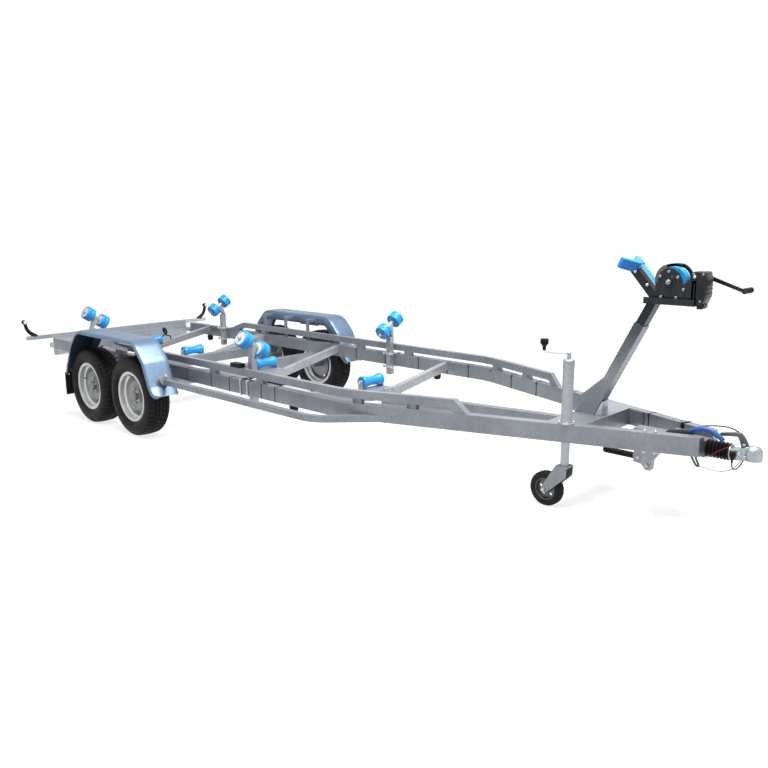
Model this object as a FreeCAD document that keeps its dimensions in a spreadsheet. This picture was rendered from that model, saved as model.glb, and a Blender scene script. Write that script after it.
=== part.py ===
# Tandem-axle roller trailer for a boat, in millimetres.
# Each piece is drawn level, with x forward from the middle of the axle pair, y to the left and z up
# from the road, and is then pitched nose down about that middle, as the trailer stands on its jockey wheel.
import FreeCAD, Part
import Sketcher
import math
import os

sizes = {
    # stance
    "origin_ahead": 1485.9,
    "park_pitch": 1.14,
    # wheels
    "axle_spread": 694.0,
    "wheel_track": 1935.0,
    "tyre_radius": 314.5,
    "tyre_width": 195.0,
    "bead_radius": 178.0,
    "flange_radius": 195.0,
    "rim_half_width": 78.0,
    "disc_outset": 24.0,
    "disc_thickness": 6.0,
    "vent_circle_radius": 131.0,
    "vent_radius": 11.0,
    "drum_radius": 112.0,
    "cap_radius": 32.0,
    "stub_radius": 20.0,
    "stub_reach": 45.0,
    # main beams
    "beam_width": 60.0,
    "beam_height": 100.0,
    "beam_wall": 4.0,
    "beam_bottom": 466.0,
    "beam_centre": 760.0,
    "beam_rear": 1550.0,
    "beam_front": 4405.0,
    "bend_ahead": 2460.0,
    "bend_radius": 600.0,
    "drawbar_angle": 19.03,
    # upper rails
    "rail_width": 40.0,
    "rail_height": 50.0,
    "rail_gap": 30.0,
    "rail_rear": 830.0,
    "rail_rear_slope": 230.0,
    "rail_front": 3226.0,
    "spacer_length": 70.0,
    # guard tubes
    "guard_width": 40.0,
    "guard_outer": 995.0,
    "guard_corner": 2416.0,
    "guard_bend_radius": 250.0,
    "guard_angle": 45.0,
    "guard_flange_radius": 42.0,
    "guard_flange_thickness": 8.0,
    # crossmembers
    "cross_width": 50.0,
    "cross_height": 60.0,
    "cross_flat": 116.0,
    "cross_end_drop": 6.0,
    "front_cross_ahead": 2055.0,
    "front_cross_centre": 455.0,
    "middle_cross_ahead": 800.0,
    "middle_cross_centre": 436.0,
    "axle_cross_behind": 300.0,
    "axle_cross_centre": 425.0,
    "axle_cross_width": 110.0,
    "rear_cross_behind": 1190.0,
    "rear_cross_centre": 450.0,
    "spine_width": 60.0,
    "spine_height": 90.0,
    "spine_rear_top": 445.0,
    "spine_front_top": 528.0,
    "drawbar_cross_front": 3840.0,
    "drawbar_cross_width": 60.0,
    # fenders
    "fender_inner": 880.0,
    "fender_outer": 1100.0,
    "fender_top": 780.0,
    "fender_thickness": 3.0,
    "fender_lip": 28.0,
    "fender_middle": 50.0,
    "strap_spread": 320.0,
    "strap_width": 40.0,
    "strap_thickness": 8.0,
    "arm_height": 20.0,
    "arm_reach": 1000.0,
    "flap_thickness": 8.0,
    "flap_bottom": 195.0,
    "flap_top": 389.4,
    # axles
    "axle_tube": 80.0,
    "arm_length": 150.0,
    "arm_thickness": 30.0,
    "arm_inner": 805.0,
    "backplate_radius": 120.0,
    # side rollers
    "post_size": 45.0,
    "post_bottom": 395.0,
    "post_top": 712.0,
    "middle_post_ahead": 1478.0,
    "rear_post_behind": 895.0,
    "twin_tilt": 32.0,
    "twin_centre_y": 703.0,
    "twin_centre_z": 806.0,
    "twin_spacing": 165.0,
    "rear_twin_centre_y": 670.0,
    "rear_twin_spacing": 150.0,
    "twin_radius": 62.0,
    "twin_width": 75.0,
    "twin_hub_radius": 34.0,
    "twin_shaft_radius": 10.0,
    "head_radius": 20.0,
    "bolt_radius": 5.0,
    "bolt_spacing": 80.0,
    # keel rollers
    "keel_length": 200.0,
    "keel_radius": 45.0,
    "keel_waist": 33.0,
    "keel_pin_radius": 8.0,
    "ear_thickness": 6.0,
    "ear_half_width": 22.0,
    "ear_gap": 4.0,
    # winch post
    "channel_rear": 3640.0,
    "channel_height": 38.0,
    "channel_wall": 8.0,
    "mast_lean": 26.6,
    "mast_width": 74.0,
    "mast_depth": 56.0,
    "mast_foot": 3702.0,
    "mast_share": 0.84,
    "mast_overlap": 0.2,
    "mast_wall": 4.0,
    "gusset_thickness": 6.0,
    "gusset_reach": 46.0,
    # winch
    "plate_behind_drum": 130.0,
    "plate_beyond_drum": 140.0,
    "plate_below_drum": 118.0,
    "flange_height": 34.0,
    "plate_half_width": 62.0,
    "plate_thickness": 6.0,
    "cheek_thickness": 4.0,
    "guard_radius": 96.0,
    "gear_box_behind": 111.0,
    "gear_box_front": 202.0,
    "gear_box_height": 169.0,
    "drum_flange_radius": 86.0,
    "drum_half_width": 40.0,
    "strap_roll_radius": 76.0,
    "drum_ahead": 4160.0,
    "drum_height": 1341.0,
    "drum_shaft_radius": 10.0,
    "crank_beyond_drum": 130.0,
    "crank_rise": 31.0,
    "crank_shaft_radius": 8.0,
    "crank_length": 212.0,
    "crank_drop": 19.2,
    "grip_radius": 15.0,
    "grip_length": 100.0,
    "arm_foot_behind": 94.0,
    "arm_width": 58.0,
    "arm_half_width": 26.0,
    "arm_slope": 41.2,
    "pad_rise": 172.0,
    "pad_height": 70.0,
    "pad_half_width": 98.0,
    "pad_depth": 48.0,
    # jockey wheel
    "jockey_ahead": 3752.0,
    "jockey_tube_radius": 30.0,
    "jockey_leg_radius": 24.0,
    "jockey_tube_top": 925.0,
    "jockey_wheel_radius": 100.0,
    "jockey_wheel_width": 58.0,
    "jockey_trail": 105.0,
    "jockey_leg_bottom": 330.0,
    "jockey_axle_radius": 8.0,
    "fork_thickness": 5.0,
    # coupling
    "housing_rear": 4010.0,
    "housing_width": 84.0,
    "housing_height": 88.0,
    "coupling_centre": 492.0,
    "shaft_radius": 25.0,
    "bellows_radius": 48.0,
    "bellows_length": 118.0,
    "bellows_folds": 6.0,
    "coupling_length": 153.0,
    "ball_cover_radius": 44.0,
    "neck_half_width": 30.0,
    "handle_half_width": 14.0,
    "lever_thickness": 16.0,
    "spring_radius": 14.0,
    "spring_length": 190.0,
    "electric_cable": 7.0,
    "plug_radius": 13.0,
    "gland_radius": 8.0,
    "gland_length": 14.0,
    "safety_cable": 5.0,
    "breakaway_cable": 3.5,
    "eye_radius": 7.0,
    "socket_radius": 25.3,
    # rear lamps
    "board_behind": 1660.0,
    "board_thickness": 36.0,
    "board_half_width": 740.0,
    "board_bottom": 384.0,
    "board_top": 560.0,
    "bar_size": 36.0,
    "bar_half_width": 995.0,
    "stalk_radius": 13.0,
    # clearances
    "seat_gap": 0.3,
    "running_gap": 0.05,
    "side_gap": 2.0,
}

document = FreeCAD.newDocument("boat_trailer")
sheet = document.addObject("Spreadsheet::Sheet", "Sizes")
for row, (name, value) in enumerate(sizes.items(), start=1):
    sheet.set(f"A{row}", name)
    sheet.set(f"B{row}", str(value))
    sheet.setAlias(f"B{row}", name)
document.recompute()


class Size:
    """A length or an angle, with the sheet formula that gives it."""

    def __init__(self, value, formula):
        self.value = value
        self.formula = formula

    def __add__(self, other):
        other = as_size(other)
        return Size(self.value + other.value, f"({self.formula} + {other.formula})")

    def __sub__(self, other):
        other = as_size(other)
        return Size(self.value - other.value, f"({self.formula} - {other.formula})")

    def __mul__(self, other):
        other = as_size(other)
        return Size(self.value * other.value, f"({self.formula} * {other.formula})")

    def __truediv__(self, other):
        other = as_size(other)
        return Size(self.value / other.value, f"({self.formula} / {other.formula})")

    def __radd__(self, other):
        return as_size(other) + self

    def __rsub__(self, other):
        return as_size(other) - self

    def __rmul__(self, other):
        return as_size(other) * self

    def __neg__(self):
        return as_size(0) - self


def as_size(value):
    """Turns a plain number into a Size."""
    if isinstance(value, Size):
        return value
    return Size(float(value), f"{float(value):.6f}")


def size(name):
    """Looks up a driving dimension."""
    return Size(sizes[name], f"Sizes.{name}")


def tangent(angle):
    return Size(math.tan(math.radians(angle.value)), f"tan({angle.formula})")


def sine(angle):
    return Size(math.sin(math.radians(angle.value)), f"sin({angle.formula})")


def cosine(angle):
    return Size(math.cos(math.radians(angle.value)), f"cos({angle.formula})")


def bind(item, prop, value):
    """Ties a property to the sheet."""
    item.setExpression(prop, as_size(value).formula)


# Derived places that several pieces share.
beam_top = size("beam_bottom") + size("beam_height")
beam_outer = size("beam_centre") + size("beam_width") / 2
beam_inner = size("beam_centre") - size("beam_width") / 2
rail_bottom = beam_top + size("rail_gap")
rail_top = rail_bottom + size("rail_height")
pitch = size("park_pitch")
drawbar_slope = tangent(size("drawbar_angle"))
half_bend = tangent(size("drawbar_angle") / 2)
skew_half_width = size("beam_width") / 2 / cosine(size("drawbar_angle"))
wheel_centre_y = size("wheel_track") / 2


def drawbar_centre(ahead):
    """Half distance between the beams' centre lines at a place forward of their bend."""
    return size("beam_centre") - (ahead - size("bend_ahead")) * drawbar_slope


def floor_height(ahead):
    """Height of the floor, seen from the level drawing, at a distance forward."""
    return ahead * tangent(pitch)


def wheel_height(ahead):
    """Height of a road wheel's axis in the level drawing."""
    return (size("tyre_radius") + ahead * sine(pitch)) / cosine(pitch)


def new_body(name):
    return document.addObject("PartDesign::Body", name)


def add_sketch(body, plane, origin, turn=None):
    """Adds a sketch on an origin plane, its own origin at a point of the drawing, turned in its plane."""
    sketch = body.newObject("Sketcher::SketchObject", f"{body.Name}_sketch")
    supports = [item for item in body.Origin.OriginFeatures if item.Role == f"{plane}_Plane"]
    sketch.AttachmentSupport = [(supports[0], "")]
    sketch.MapMode = "FlatFace"
    x, y, z = [as_size(value) for value in origin]
    offset = {"XY": (x, y, z), "XZ": (x, z, -y), "YZ": (y, z, x)}[plane]
    sketch.AttachmentOffset = FreeCAD.Placement(
        FreeCAD.Vector(*[value.value for value in offset]),
        FreeCAD.Rotation(FreeCAD.Vector(0, 0, 1), as_size(turn or 0).value),
    )
    for axis, value in zip("xyz", offset):
        bind(sketch, f"AttachmentOffset.Base.{axis}", value)
    if turn is not None:
        bind(sketch, "AttachmentOffset.Rotation.Angle", turn)
    return sketch


def pin_point(sketch, geometry, position, corner):
    """Fixes a sketch point at its place from the sketch's origin."""
    for kind, axis, value in (("DistanceX", -2, as_size(corner[0])), ("DistanceY", -1, as_size(corner[1]))):
        if abs(value.value) < 1e-9:
            sketch.addConstraint(Sketcher.Constraint("PointOnObject", geometry, position, axis))
            continue
        index = sketch.addConstraint(Sketcher.Constraint(kind, -1, 1, geometry, position, value.value))
        sketch.setExpression(f"Constraints[{index}]", value.formula)


def trace(sketch, corners, closed=True):
    """Draws straight edges through the corners, and a tangent arc where a corner has a radius."""
    places = [FreeCAD.Vector(as_size(c[0]).value, as_size(c[1]).value, 0) for c in corners]
    count = len(corners)
    entries = list(places)
    exits = list(places)
    for i, corner in enumerate(corners):
        if len(corner) < 3:
            continue
        before = (places[i - 1] - places[i]).normalize()
        after = (places[(i + 1) % count] - places[i]).normalize()
        half_angle = before.getAngle(after) / 2
        reach = as_size(corner[2]).value / math.tan(half_angle)
        entries[i] = places[i] + before * reach
        exits[i] = places[i] + after * reach
    line_count = count if closed else count - 1
    for i in range(line_count):
        sketch.addGeometry(Part.LineSegment(exits[i], entries[(i + 1) % count]), False)
    for i, corner in enumerate(corners):
        into = (i - 1) % count
        if len(corner) < 3:
            if closed or 0 < i < count - 1:
                sketch.addConstraint(Sketcher.Constraint("Coincident", into, 2, i, 1))
            if closed or i < count - 1:
                pin_point(sketch, i, 1, corner)
            else:
                pin_point(sketch, into, 2, corner)
            continue
        round_corner(sketch, into, i, places[i], entries[i], exits[i], corner)


def round_corner(sketch, line_in, line_out, place, entry, leave, corner):
    """Joins two edges by an arc that is tangent to both, about a fixed corner point."""
    radius = as_size(corner[2])
    middle = (entry + leave) * 0.5 - place
    toward = FreeCAD.Vector(middle).normalize()
    reach = math.hypot(radius.value, (entry - place).Length)
    centre = place + toward * reach
    peak = centre - toward * radius.value
    arc = sketch.addGeometry(Part.Arc(entry, peak, leave), False)
    ends = [sketch.getPoint(arc, 1), sketch.getPoint(arc, 2)]
    start_first = (ends[0] - entry).Length < (ends[1] - entry).Length
    first, second = (1, 2) if start_first else (2, 1)
    sketch.addConstraint(Sketcher.Constraint("Tangent", line_in, 2, arc, first))
    sketch.addConstraint(Sketcher.Constraint("Tangent", line_out, 1, arc, second))
    index = sketch.addConstraint(Sketcher.Constraint("Radius", arc, radius.value))
    sketch.setExpression(f"Constraints[{index}]", radius.formula)
    mark = sketch.addGeometry(Part.Point(place), True)
    sketch.addConstraint(Sketcher.Constraint("PointOnObject", mark, 1, line_in))
    sketch.addConstraint(Sketcher.Constraint("PointOnObject", mark, 1, line_out))
    pin_point(sketch, mark, 1, corner)


def circle(sketch, centre, radius):
    """Draws a circle with a fixed centre."""
    radius = as_size(radius)
    middle = FreeCAD.Vector(as_size(centre[0]).value, as_size(centre[1]).value, 0)
    index = sketch.addGeometry(Part.Circle(middle, FreeCAD.Vector(0, 0, 1), radius.value), False)
    pin_point(sketch, index, 3, centre)
    constraint = sketch.addConstraint(Sketcher.Constraint("Radius", index, radius.value))
    sketch.setExpression(f"Constraints[{constraint}]", radius.formula)


def far_end(plane, start, length):
    """Where a sketch lies so that its pad fills start to start + length along the plane's axis."""
    if plane == "XY":
        return (0, 0, start)
    if plane == "XZ":
        return (0, as_size(start) + length, 0)
    return (start, 0, 0)


def draw(sketch, shape):
    """Draws a closed outline, or a circle given as centre and radius."""
    if isinstance(shape, dict):
        circle(sketch, shape["centre"], shape["radius"])
    else:
        trace(sketch, shape)


def pad(body, plane, start, length, *shapes):
    """Adds a prism of the shapes from start to start + length along the plane's axis."""
    sketch = add_sketch(body, plane, far_end(plane, start, length))
    for shape in shapes:
        draw(sketch, shape) if isinstance(shape, dict) else trace_more(sketch, shape)
    feature = body.newObject("PartDesign::Pad", f"{body.Name}_pad")
    feature.Profile = sketch
    bind(feature, "Length", length)
    return feature


def trace_more(sketch, corners):
    """Draws a further closed outline of straight edges in a sketch that may hold geometry already."""
    if sketch.GeometryCount == 0:
        trace(sketch, corners)
        return
    first = sketch.GeometryCount
    places = [FreeCAD.Vector(as_size(c[0]).value, as_size(c[1]).value, 0) for c in corners]
    for i, place in enumerate(places):
        sketch.addGeometry(Part.LineSegment(place, places[(i + 1) % len(places)]), False)
    for i, corner in enumerate(corners):
        into = first + (i - 1) % len(corners)
        sketch.addConstraint(Sketcher.Constraint("Coincident", into, 2, first + i, 1))
        pin_point(sketch, first + i, 1, corner)


def cut(body, plane, start, length, *shapes):
    """Removes a prism of the shapes from start to start + length along the plane's axis."""
    end = as_size(start) + length
    origin = {"XY": (0, 0, end), "XZ": (0, start, 0), "YZ": (end, 0, 0)}[plane]
    sketch = add_sketch(body, plane, origin)
    for shape in shapes:
        draw(sketch, shape) if isinstance(shape, dict) else trace_more(sketch, shape)
    feature = body.newObject("PartDesign::Pocket", f"{body.Name}_pocket")
    feature.Profile = sketch
    bind(feature, "Length", length)
    return feature


def revolve(body, plane, origin, profile, turn=None):
    """Revolves a profile about its sketch's first axis, or about the second for an upright one."""
    sketch = add_sketch(body, plane, origin, turn)
    trace(sketch, profile)
    feature = body.newObject("PartDesign::Revolution", f"{body.Name}_revolution")
    feature.Profile = sketch
    feature.ReferenceAxis = (sketch, ["H_Axis"])
    feature.Angle = 360.0
    return feature


def revolve_upright(body, origin, profile):
    """Revolves a profile of radius and height about a vertical axis."""
    sketch = add_sketch(body, "XZ", origin)
    trace(sketch, profile)
    feature = body.newObject("PartDesign::Revolution", f"{body.Name}_revolution")
    feature.Profile = sketch
    feature.ReferenceAxis = (sketch, ["V_Axis"])
    feature.Angle = 360.0
    return feature


def rod(start, end, radius):
    """Profile of a plain round bar along a sketch's axis."""
    return [(start, 0), (start, radius), (end, radius), (end, 0)]


def ring(start, end, inner, outer):
    """Profile of a round sleeve along a sketch's axis."""
    return [(start, inner), (start, outer), (end, outer), (end, inner)]


def box(x0, x1, y0, y1):
    """Four corners of a rectangle."""
    return [(x0, y0), (x1, y0), (x1, y1), (x0, y1)]


nodes = []


def place_node(item, label):
    """Labels a finished piece and pitches it with the trailer as it stands."""
    item.Label = label
    item.Placement = FreeCAD.Placement(
        FreeCAD.Vector(-sizes["origin_ahead"], 0, 0),
        FreeCAD.Rotation(FreeCAD.Vector(0, 1, 0), sizes["park_pitch"]),
    )
    bind(item, "Placement.Base.x", -size("origin_ahead"))
    bind(item, "Placement.Rotation.Angle", pitch)
    nodes.append(item)


def group(label, pieces):
    """Joins like pieces, which don't touch, in one node."""
    compound = document.addObject("Part::Compound", f"{label}_group")
    compound.Links = pieces
    place_node(compound, label)


def beam_outline(side, rear, front, half_width, wall=0.0):
    """Plan of a strip that follows a main beam's centre line."""
    half = half_width - wall
    skew = half / cosine(size("drawbar_angle"))
    bend = size("bend_ahead")
    centre = size("beam_centre")
    return [
        (rear, side * (centre - half)),
        (bend - half * half_bend, side * (centre - half), size("bend_radius") - half),
        (front, side * (drawbar_centre(front) - skew)),
        (front, side * (drawbar_centre(front) + skew)),
        (bend + half * half_bend, side * (centre + half), size("bend_radius") + half),
        (rear, side * (centre + half)),
    ]


def main_beam(label, side):
    """Hollow box beam, straight beside the wheels and bent in to the coupling."""
    body = new_body(label)
    half = size("beam_width") / 2
    wall = size("beam_wall")
    rear = -size("beam_rear")
    pad(body, "XY", size("beam_bottom"), size("beam_height"),
        beam_outline(side, rear, size("beam_front"), half))
    cut(body, "XY", size("beam_bottom") + wall, size("beam_height") - wall * 2,
        beam_outline(side, rear - 1, size("beam_front") - wall, half, wall))
    if side < 0:
        hole = {
            "centre": (size("jockey_ahead"), -drawbar_centre(size("jockey_ahead"))),
            "radius": size("jockey_leg_radius") + 1.0,
        }
        cut(body, "XY", size("beam_bottom") - 1, size("beam_height") + 2, hole)
    place_node(body, label)


def upper_rail(side):
    """Raised rail over a main beam, sloped down to it at both ends, on welded spacers."""
    body = new_body(f"upper_rail_{'left' if side > 0 else 'right'}")
    half = size("rail_width") / 2
    rear = -size("rail_rear")
    front = size("rail_front")
    rise = size("rail_gap") + size("rail_height")
    pad(body, "XY", beam_top, rise, beam_outline(side, rear, front, half))
    crest = rear + size("rail_rear_slope")
    foot = rear + size("rail_rear_slope") * size("rail_height") / rise * 1.08
    under_front = front - size("rail_height") * 1.414
    reach = size("beam_centre") + size("rail_width")
    cut(body, "XZ", -reach, reach * 2,
        [(rear - 1, beam_top), (crest, rail_top), (crest, rail_top + 1), (rear - 1, rail_top + 1)])
    cut(body, "XZ", -reach, reach * 2,
        [(foot, beam_top), (crest + 8, rail_bottom), (under_front - size("rail_gap"), rail_bottom),
         (under_front, beam_top)])
    cut(body, "XZ", -reach, reach * 2,
        [(front - rise, rail_top), (front + 1, beam_top - 1), (front + 1, rail_top + 1),
         (front - rise, rail_top + 1)])
    centre = size("beam_centre")
    length = size("spacer_length")
    for ahead in (size("axle_cross_behind") * -1, size("middle_cross_ahead") + 250,
                  size("middle_post_ahead") + 130):
        pad(body, "XY", beam_top, size("rail_gap"),
            box(ahead, ahead + length, side * (centre - half), side * (centre + half)))
    for ahead in (size("bend_ahead") + 60, size("bend_ahead") + 400):
        middle = drawbar_centre(ahead + length / 2)
        pad(body, "XY", beam_top, size("rail_gap"),
            box(ahead, ahead + length, side * (middle - half * 0.8), side * (middle + half * 0.8)))
    return body


def upper_rails():
    group("upper_rails", [upper_rail(1), upper_rail(-1)])


def fender_slope_x(height):
    """Where the fender's front slope lies at a height."""
    return size("fender_middle") + 682 - (height - 449) * 0.475


def guard_tube(side):
    """Low tube outside a main beam that guards the wheel, bent in to meet the beam."""
    name = f"guard_{'left' if side > 0 else 'right'}"
    body = new_body(f"{name}_tube")
    width = size("guard_width")
    outer = size("guard_outer")
    slope = tangent(size("guard_angle"))
    bend = tangent(size("guard_angle") / 2)
    corner = size("guard_corner")
    beam_line = size("beam_centre") + skew_half_width + size("bend_ahead") * drawbar_slope
    end_outer = (outer + corner * slope - beam_line) / (slope - drawbar_slope)
    inner_corner = corner - width * bend
    end_inner = (outer - width + inner_corner * slope - beam_line) / (slope - drawbar_slope)
    rear = fender_slope_x(size("beam_bottom")) + 2
    pad(body, "XY", size("beam_bottom"), width, [
        (rear, side * (outer - width)),
        (inner_corner, side * (outer - width), size("guard_bend_radius") - width),
        (end_inner, side * (beam_line - end_inner * drawbar_slope)),
        (end_outer, side * (beam_line - end_outer * drawbar_slope)),
        (corner, side * outer, size("guard_bend_radius")),
        (rear, side * outer),
    ])
    plate_reach = size("guard_corner") - 60
    pad(body, "XY", size("beam_bottom") + width / 2, 6, [
        (plate_reach, side * (outer - width - 1)),
        (plate_reach + 60, side * (outer - width - 1)),
        (end_inner, side * (beam_line - end_inner * drawbar_slope)),
        (size("bend_ahead") + 120, side * drawbar_centre(size("bend_ahead") + 120) + side * skew_half_width),
    ])
    flange = new_body(f"{name}_flange")
    revolve(flange, "XZ", (fender_slope_x(size("beam_bottom") + width / 2) + 5.5,
                           side * (outer - width / 2), size("beam_bottom") + width / 2),
            rod(0, size("guard_flange_thickness") + 6, size("guard_flange_radius")), turn=as_size(25.4))
    fused = document.addObject("Part::Fuse", name)
    fused.Base = body
    fused.Tool = flange
    return fused


def guard_tubes():
    group("guard_tubes", [guard_tube(1), guard_tube(-1)])


def crossmember(label, ahead, centre_top, width, height):
    """Tube from beam to beam, cranked down in the middle to clear the keel."""
    body = new_body(label)
    end_top = beam_top - size("cross_end_drop")
    flat = size("cross_flat")
    pad(body, "YZ", ahead - width / 2, width, [
        (-beam_inner, end_top), (-flat, centre_top), (flat, centre_top), (beam_inner, end_top),
        (beam_inner, end_top - height), (flat, centre_top - height), (-flat, centre_top - height),
        (-beam_inner, end_top - height),
    ])
    place_node(body, label)


def crossmembers():
    width = size("cross_width")
    height = size("cross_height")
    crossmember("crossmember_front", size("front_cross_ahead"), size("front_cross_centre"), width, height)
    crossmember("crossmember_middle", size("middle_cross_ahead"), size("middle_cross_centre"), width, height)
    crossmember("crossmember_axle", -size("axle_cross_behind"), size("axle_cross_centre"),
                size("axle_cross_width"), height)
    crossmember("crossmember_rear", -size("rear_cross_behind"), size("rear_cross_centre"), width, height)


def between_beams(rear, front):
    """Outline that fills the room between the converging main beams."""
    return [
        (rear, skew_half_width - drawbar_centre(rear)), (front, skew_half_width - drawbar_centre(front)),
        (front, drawbar_centre(front) - skew_half_width), (rear, drawbar_centre(rear) - skew_half_width),
    ]


def drawbar_crossmember():
    """Cross beam between the converging main beams, with a plate along each of them."""
    body = new_body("drawbar_crossmember")
    front = size("drawbar_cross_front")
    rear = front - size("drawbar_cross_width")
    pad(body, "XY", size("beam_bottom"), size("beam_height"), between_beams(rear, front))
    tip = front + 105
    gauge = size("channel_wall")
    for side in (1, -1):
        pad(body, "XY", size("beam_bottom") + 4, size("beam_height") - 8, [
            (front - 1, side * (drawbar_centre(front - 1) - skew_half_width)),
            (tip, side * (drawbar_centre(tip) - skew_half_width)),
            (tip, side * (drawbar_centre(tip) - skew_half_width - gauge)),
            (front - 1, side * (drawbar_centre(front - 1) - skew_half_width - gauge)),
        ])
    place_node(body, "drawbar_crossmember")


def spine_beam():
    """Middle beam from the front crossmember up to the cross beam under the winch post."""
    body = new_body("spine_beam")
    rear = size("front_cross_ahead") + size("cross_width") / 2
    front = size("drawbar_cross_front") - size("drawbar_cross_width")
    height = size("spine_height")
    pad(body, "XZ", -size("spine_width") / 2, size("spine_width"), [
        (rear, size("spine_rear_top")), (front, size("spine_front_top")),
        (front, size("spine_front_top") - height), (rear, size("spine_rear_top") - height),
    ])
    place_node(body, "spine_beam")


def fender(side):
    """Folded sheet mudguard over both wheels, with turned-down edges."""
    body = new_body(f"fender_{'left' if side > 0 else 'right'}")
    middle = size("fender_middle")
    top = size("fender_top")
    sheet_gauge = size("fender_thickness")
    lip = size("fender_lip")
    inner = size("fender_inner")
    outer = size("fender_outer")
    forward = [(middle, top), (middle + 470, top, 150), (middle + 600, top - 140, 160),
               (middle + 682, 449, 90), (middle + 735, 385)]
    rearward = [(middle, top), (middle - 460, top, 150), (middle - 590, top - 130, 160),
                (middle - 724, 391)]
    for route in (forward, rearward):
        path = add_sketch(body, "XZ", (0, side * (inner + outer) / 2, 0))
        trace(path, route, closed=False)
        profile = add_sketch(body, "YZ", (middle, 0, 0))
        trace(profile, [
            (side * inner, top), (side * outer, top), (side * outer, top - lip),
            (side * (outer - sheet_gauge), top - lip), (side * (outer - sheet_gauge), top - sheet_gauge),
            (side * (inner + sheet_gauge), top - sheet_gauge), (side * (inner + sheet_gauge), top - lip),
            (side * inner, top - lip),
        ])
        sweep = body.newObject("PartDesign::AdditivePipe", f"{body.Name}_sweep")
        sweep.Profile = profile
        sweep.Spine = (path, [])
    return body


def fender_straps(side):
    """Straps on a main beam, each with an arm under the fender."""
    straps = []
    half = size("strap_width") / 2
    arm_top = size("fender_top") - size("fender_lip")
    spread = size("strap_spread")
    for name, ahead in (("front", spread + 20), ("middle", as_size(20)), ("rear", 20 - spread)):
        body = new_body(f"strap_{name}_{'left' if side > 0 else 'right'}")
        pad(body, "YZ", ahead - half, size("strap_width"), [
            (side * beam_outer, size("beam_bottom") + 8),
            (side * (beam_outer + size("strap_thickness")), size("beam_bottom") + 8),
            (side * (beam_outer + size("strap_thickness")), arm_top - size("arm_height")),
            (side * size("arm_reach"), arm_top - size("arm_height")),
            (side * size("arm_reach"), arm_top),
            (side * beam_outer, arm_top),
        ])
        straps.append(body)
    return straps


def fenders():
    group("fenders", [fender(1), fender(-1)])
    group("fender_straps", fender_straps(1) + fender_straps(-1))


def mudflap(side):
    """Rubber flap behind a fender."""
    body = new_body(f"mudflap_{'left' if side > 0 else 'right'}")
    inner = size("fender_inner") + size("fender_thickness") + size("side_gap")
    outer = size("fender_outer") - size("fender_thickness") - size("side_gap")
    front = size("fender_middle") - 722
    pad(body, "XY", size("flap_bottom"), size("flap_top") - size("flap_bottom"),
        box(front - size("flap_thickness"), front, side * inner, side * outer))
    return body


def mudflaps():
    group("mudflaps", [mudflap(1), mudflap(-1)])


def tyre(label, side, ahead):
    """Road tyre, its bore a seat on the rim."""
    body = new_body(label)
    half = size("tyre_width") / 2
    radius = size("tyre_radius")
    seat = size("bead_radius") + size("seat_gap")
    bead = size("rim_half_width") - 5 - size("seat_gap") * 2
    profile = [
        (-bead, seat), (-bead, seat + 22), (-half, radius * 0.77, 45), (-half * 0.9, radius * 0.94, 25),
        (-half * 0.72, radius, 14), (half * 0.72, radius, 14), (half * 0.9, radius * 0.94, 25),
        (half, radius * 0.77, 45), (bead, seat + 22), (bead, seat),
    ]
    revolve(body, "YZ", (ahead, side * wheel_centre_y, wheel_height(ahead)), profile)
    place_node(body, label)


def wheel(label, side, ahead):
    """Steel rim with its disc, hub, dust cap and brake drum."""
    body = new_body(label)
    edge = size("rim_half_width")
    lip = edge - 5
    seat = size("bead_radius")
    flange = size("flange_radius")
    face = size("disc_outset")
    front_face = face + size("disc_thickness")
    cap = size("cap_radius")
    drum = size("drum_radius")
    bore = size("stub_radius") + size("running_gap")
    reach = size("stub_reach")
    centre = (ahead, side * wheel_centre_y, wheel_height(ahead))
    rim = [
        (edge, flange), (lip, flange), (lip, seat), (36, seat), (28, seat - 16), (-34, seat - 16),
        (-42, seat), (-lip, seat), (-lip, flange), (-edge, flange), (-edge, seat - 4), (-45, seat - 4),
        (-37, seat - 20), (8, seat - 20), (face, 105), (face, cap - 2), (front_face, cap - 2),
        (front_face, 105), (16, seat - 20), (30, seat - 20), (38, seat - 4), (edge, seat - 4),
    ]
    revolve(body, "YZ", centre, [(side * a, r) for a, r in rim])
    hub = [
        (face, drum), (face, cap), (reach + 12, cap), (reach + 12, 0), (reach + 4, 0),
        (reach + 4, bore), (-32, bore), (-32, 38), (face - 8, 38), (face - 8, drum - 8),
        (-30, drum - 8), (-30, drum),
    ]
    revolve(body, "YZ", centre, [(side * a, r) for a, r in hub])
    spin_sketch = body.Group[-2]
    vent = cut(body, "XZ", side * wheel_centre_y - 75, 150,
               {"centre": (ahead + size("vent_circle_radius"), wheel_height(ahead)),
                "radius": size("vent_radius")})
    document.recompute()
    pattern = body.newObject("PartDesign::PolarPattern", f"{label}_vents")
    pattern.Originals = [vent]
    pattern.Axis = (spin_sketch, ["H_Axis"])
    pattern.Angle = 360.0
    pattern.Occurrences = 10
    body.Tip = pattern
    place_node(body, label)


def road_wheels():
    for end, ahead in (("front", size("axle_spread") / 2), ("rear", -size("axle_spread") / 2)):
        for name, side in (("left", 1), ("right", -1)):
            tyre(f"tyre_{end}_{name}", side, ahead)
            wheel(f"rim_{end}_{name}", side, ahead)


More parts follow.
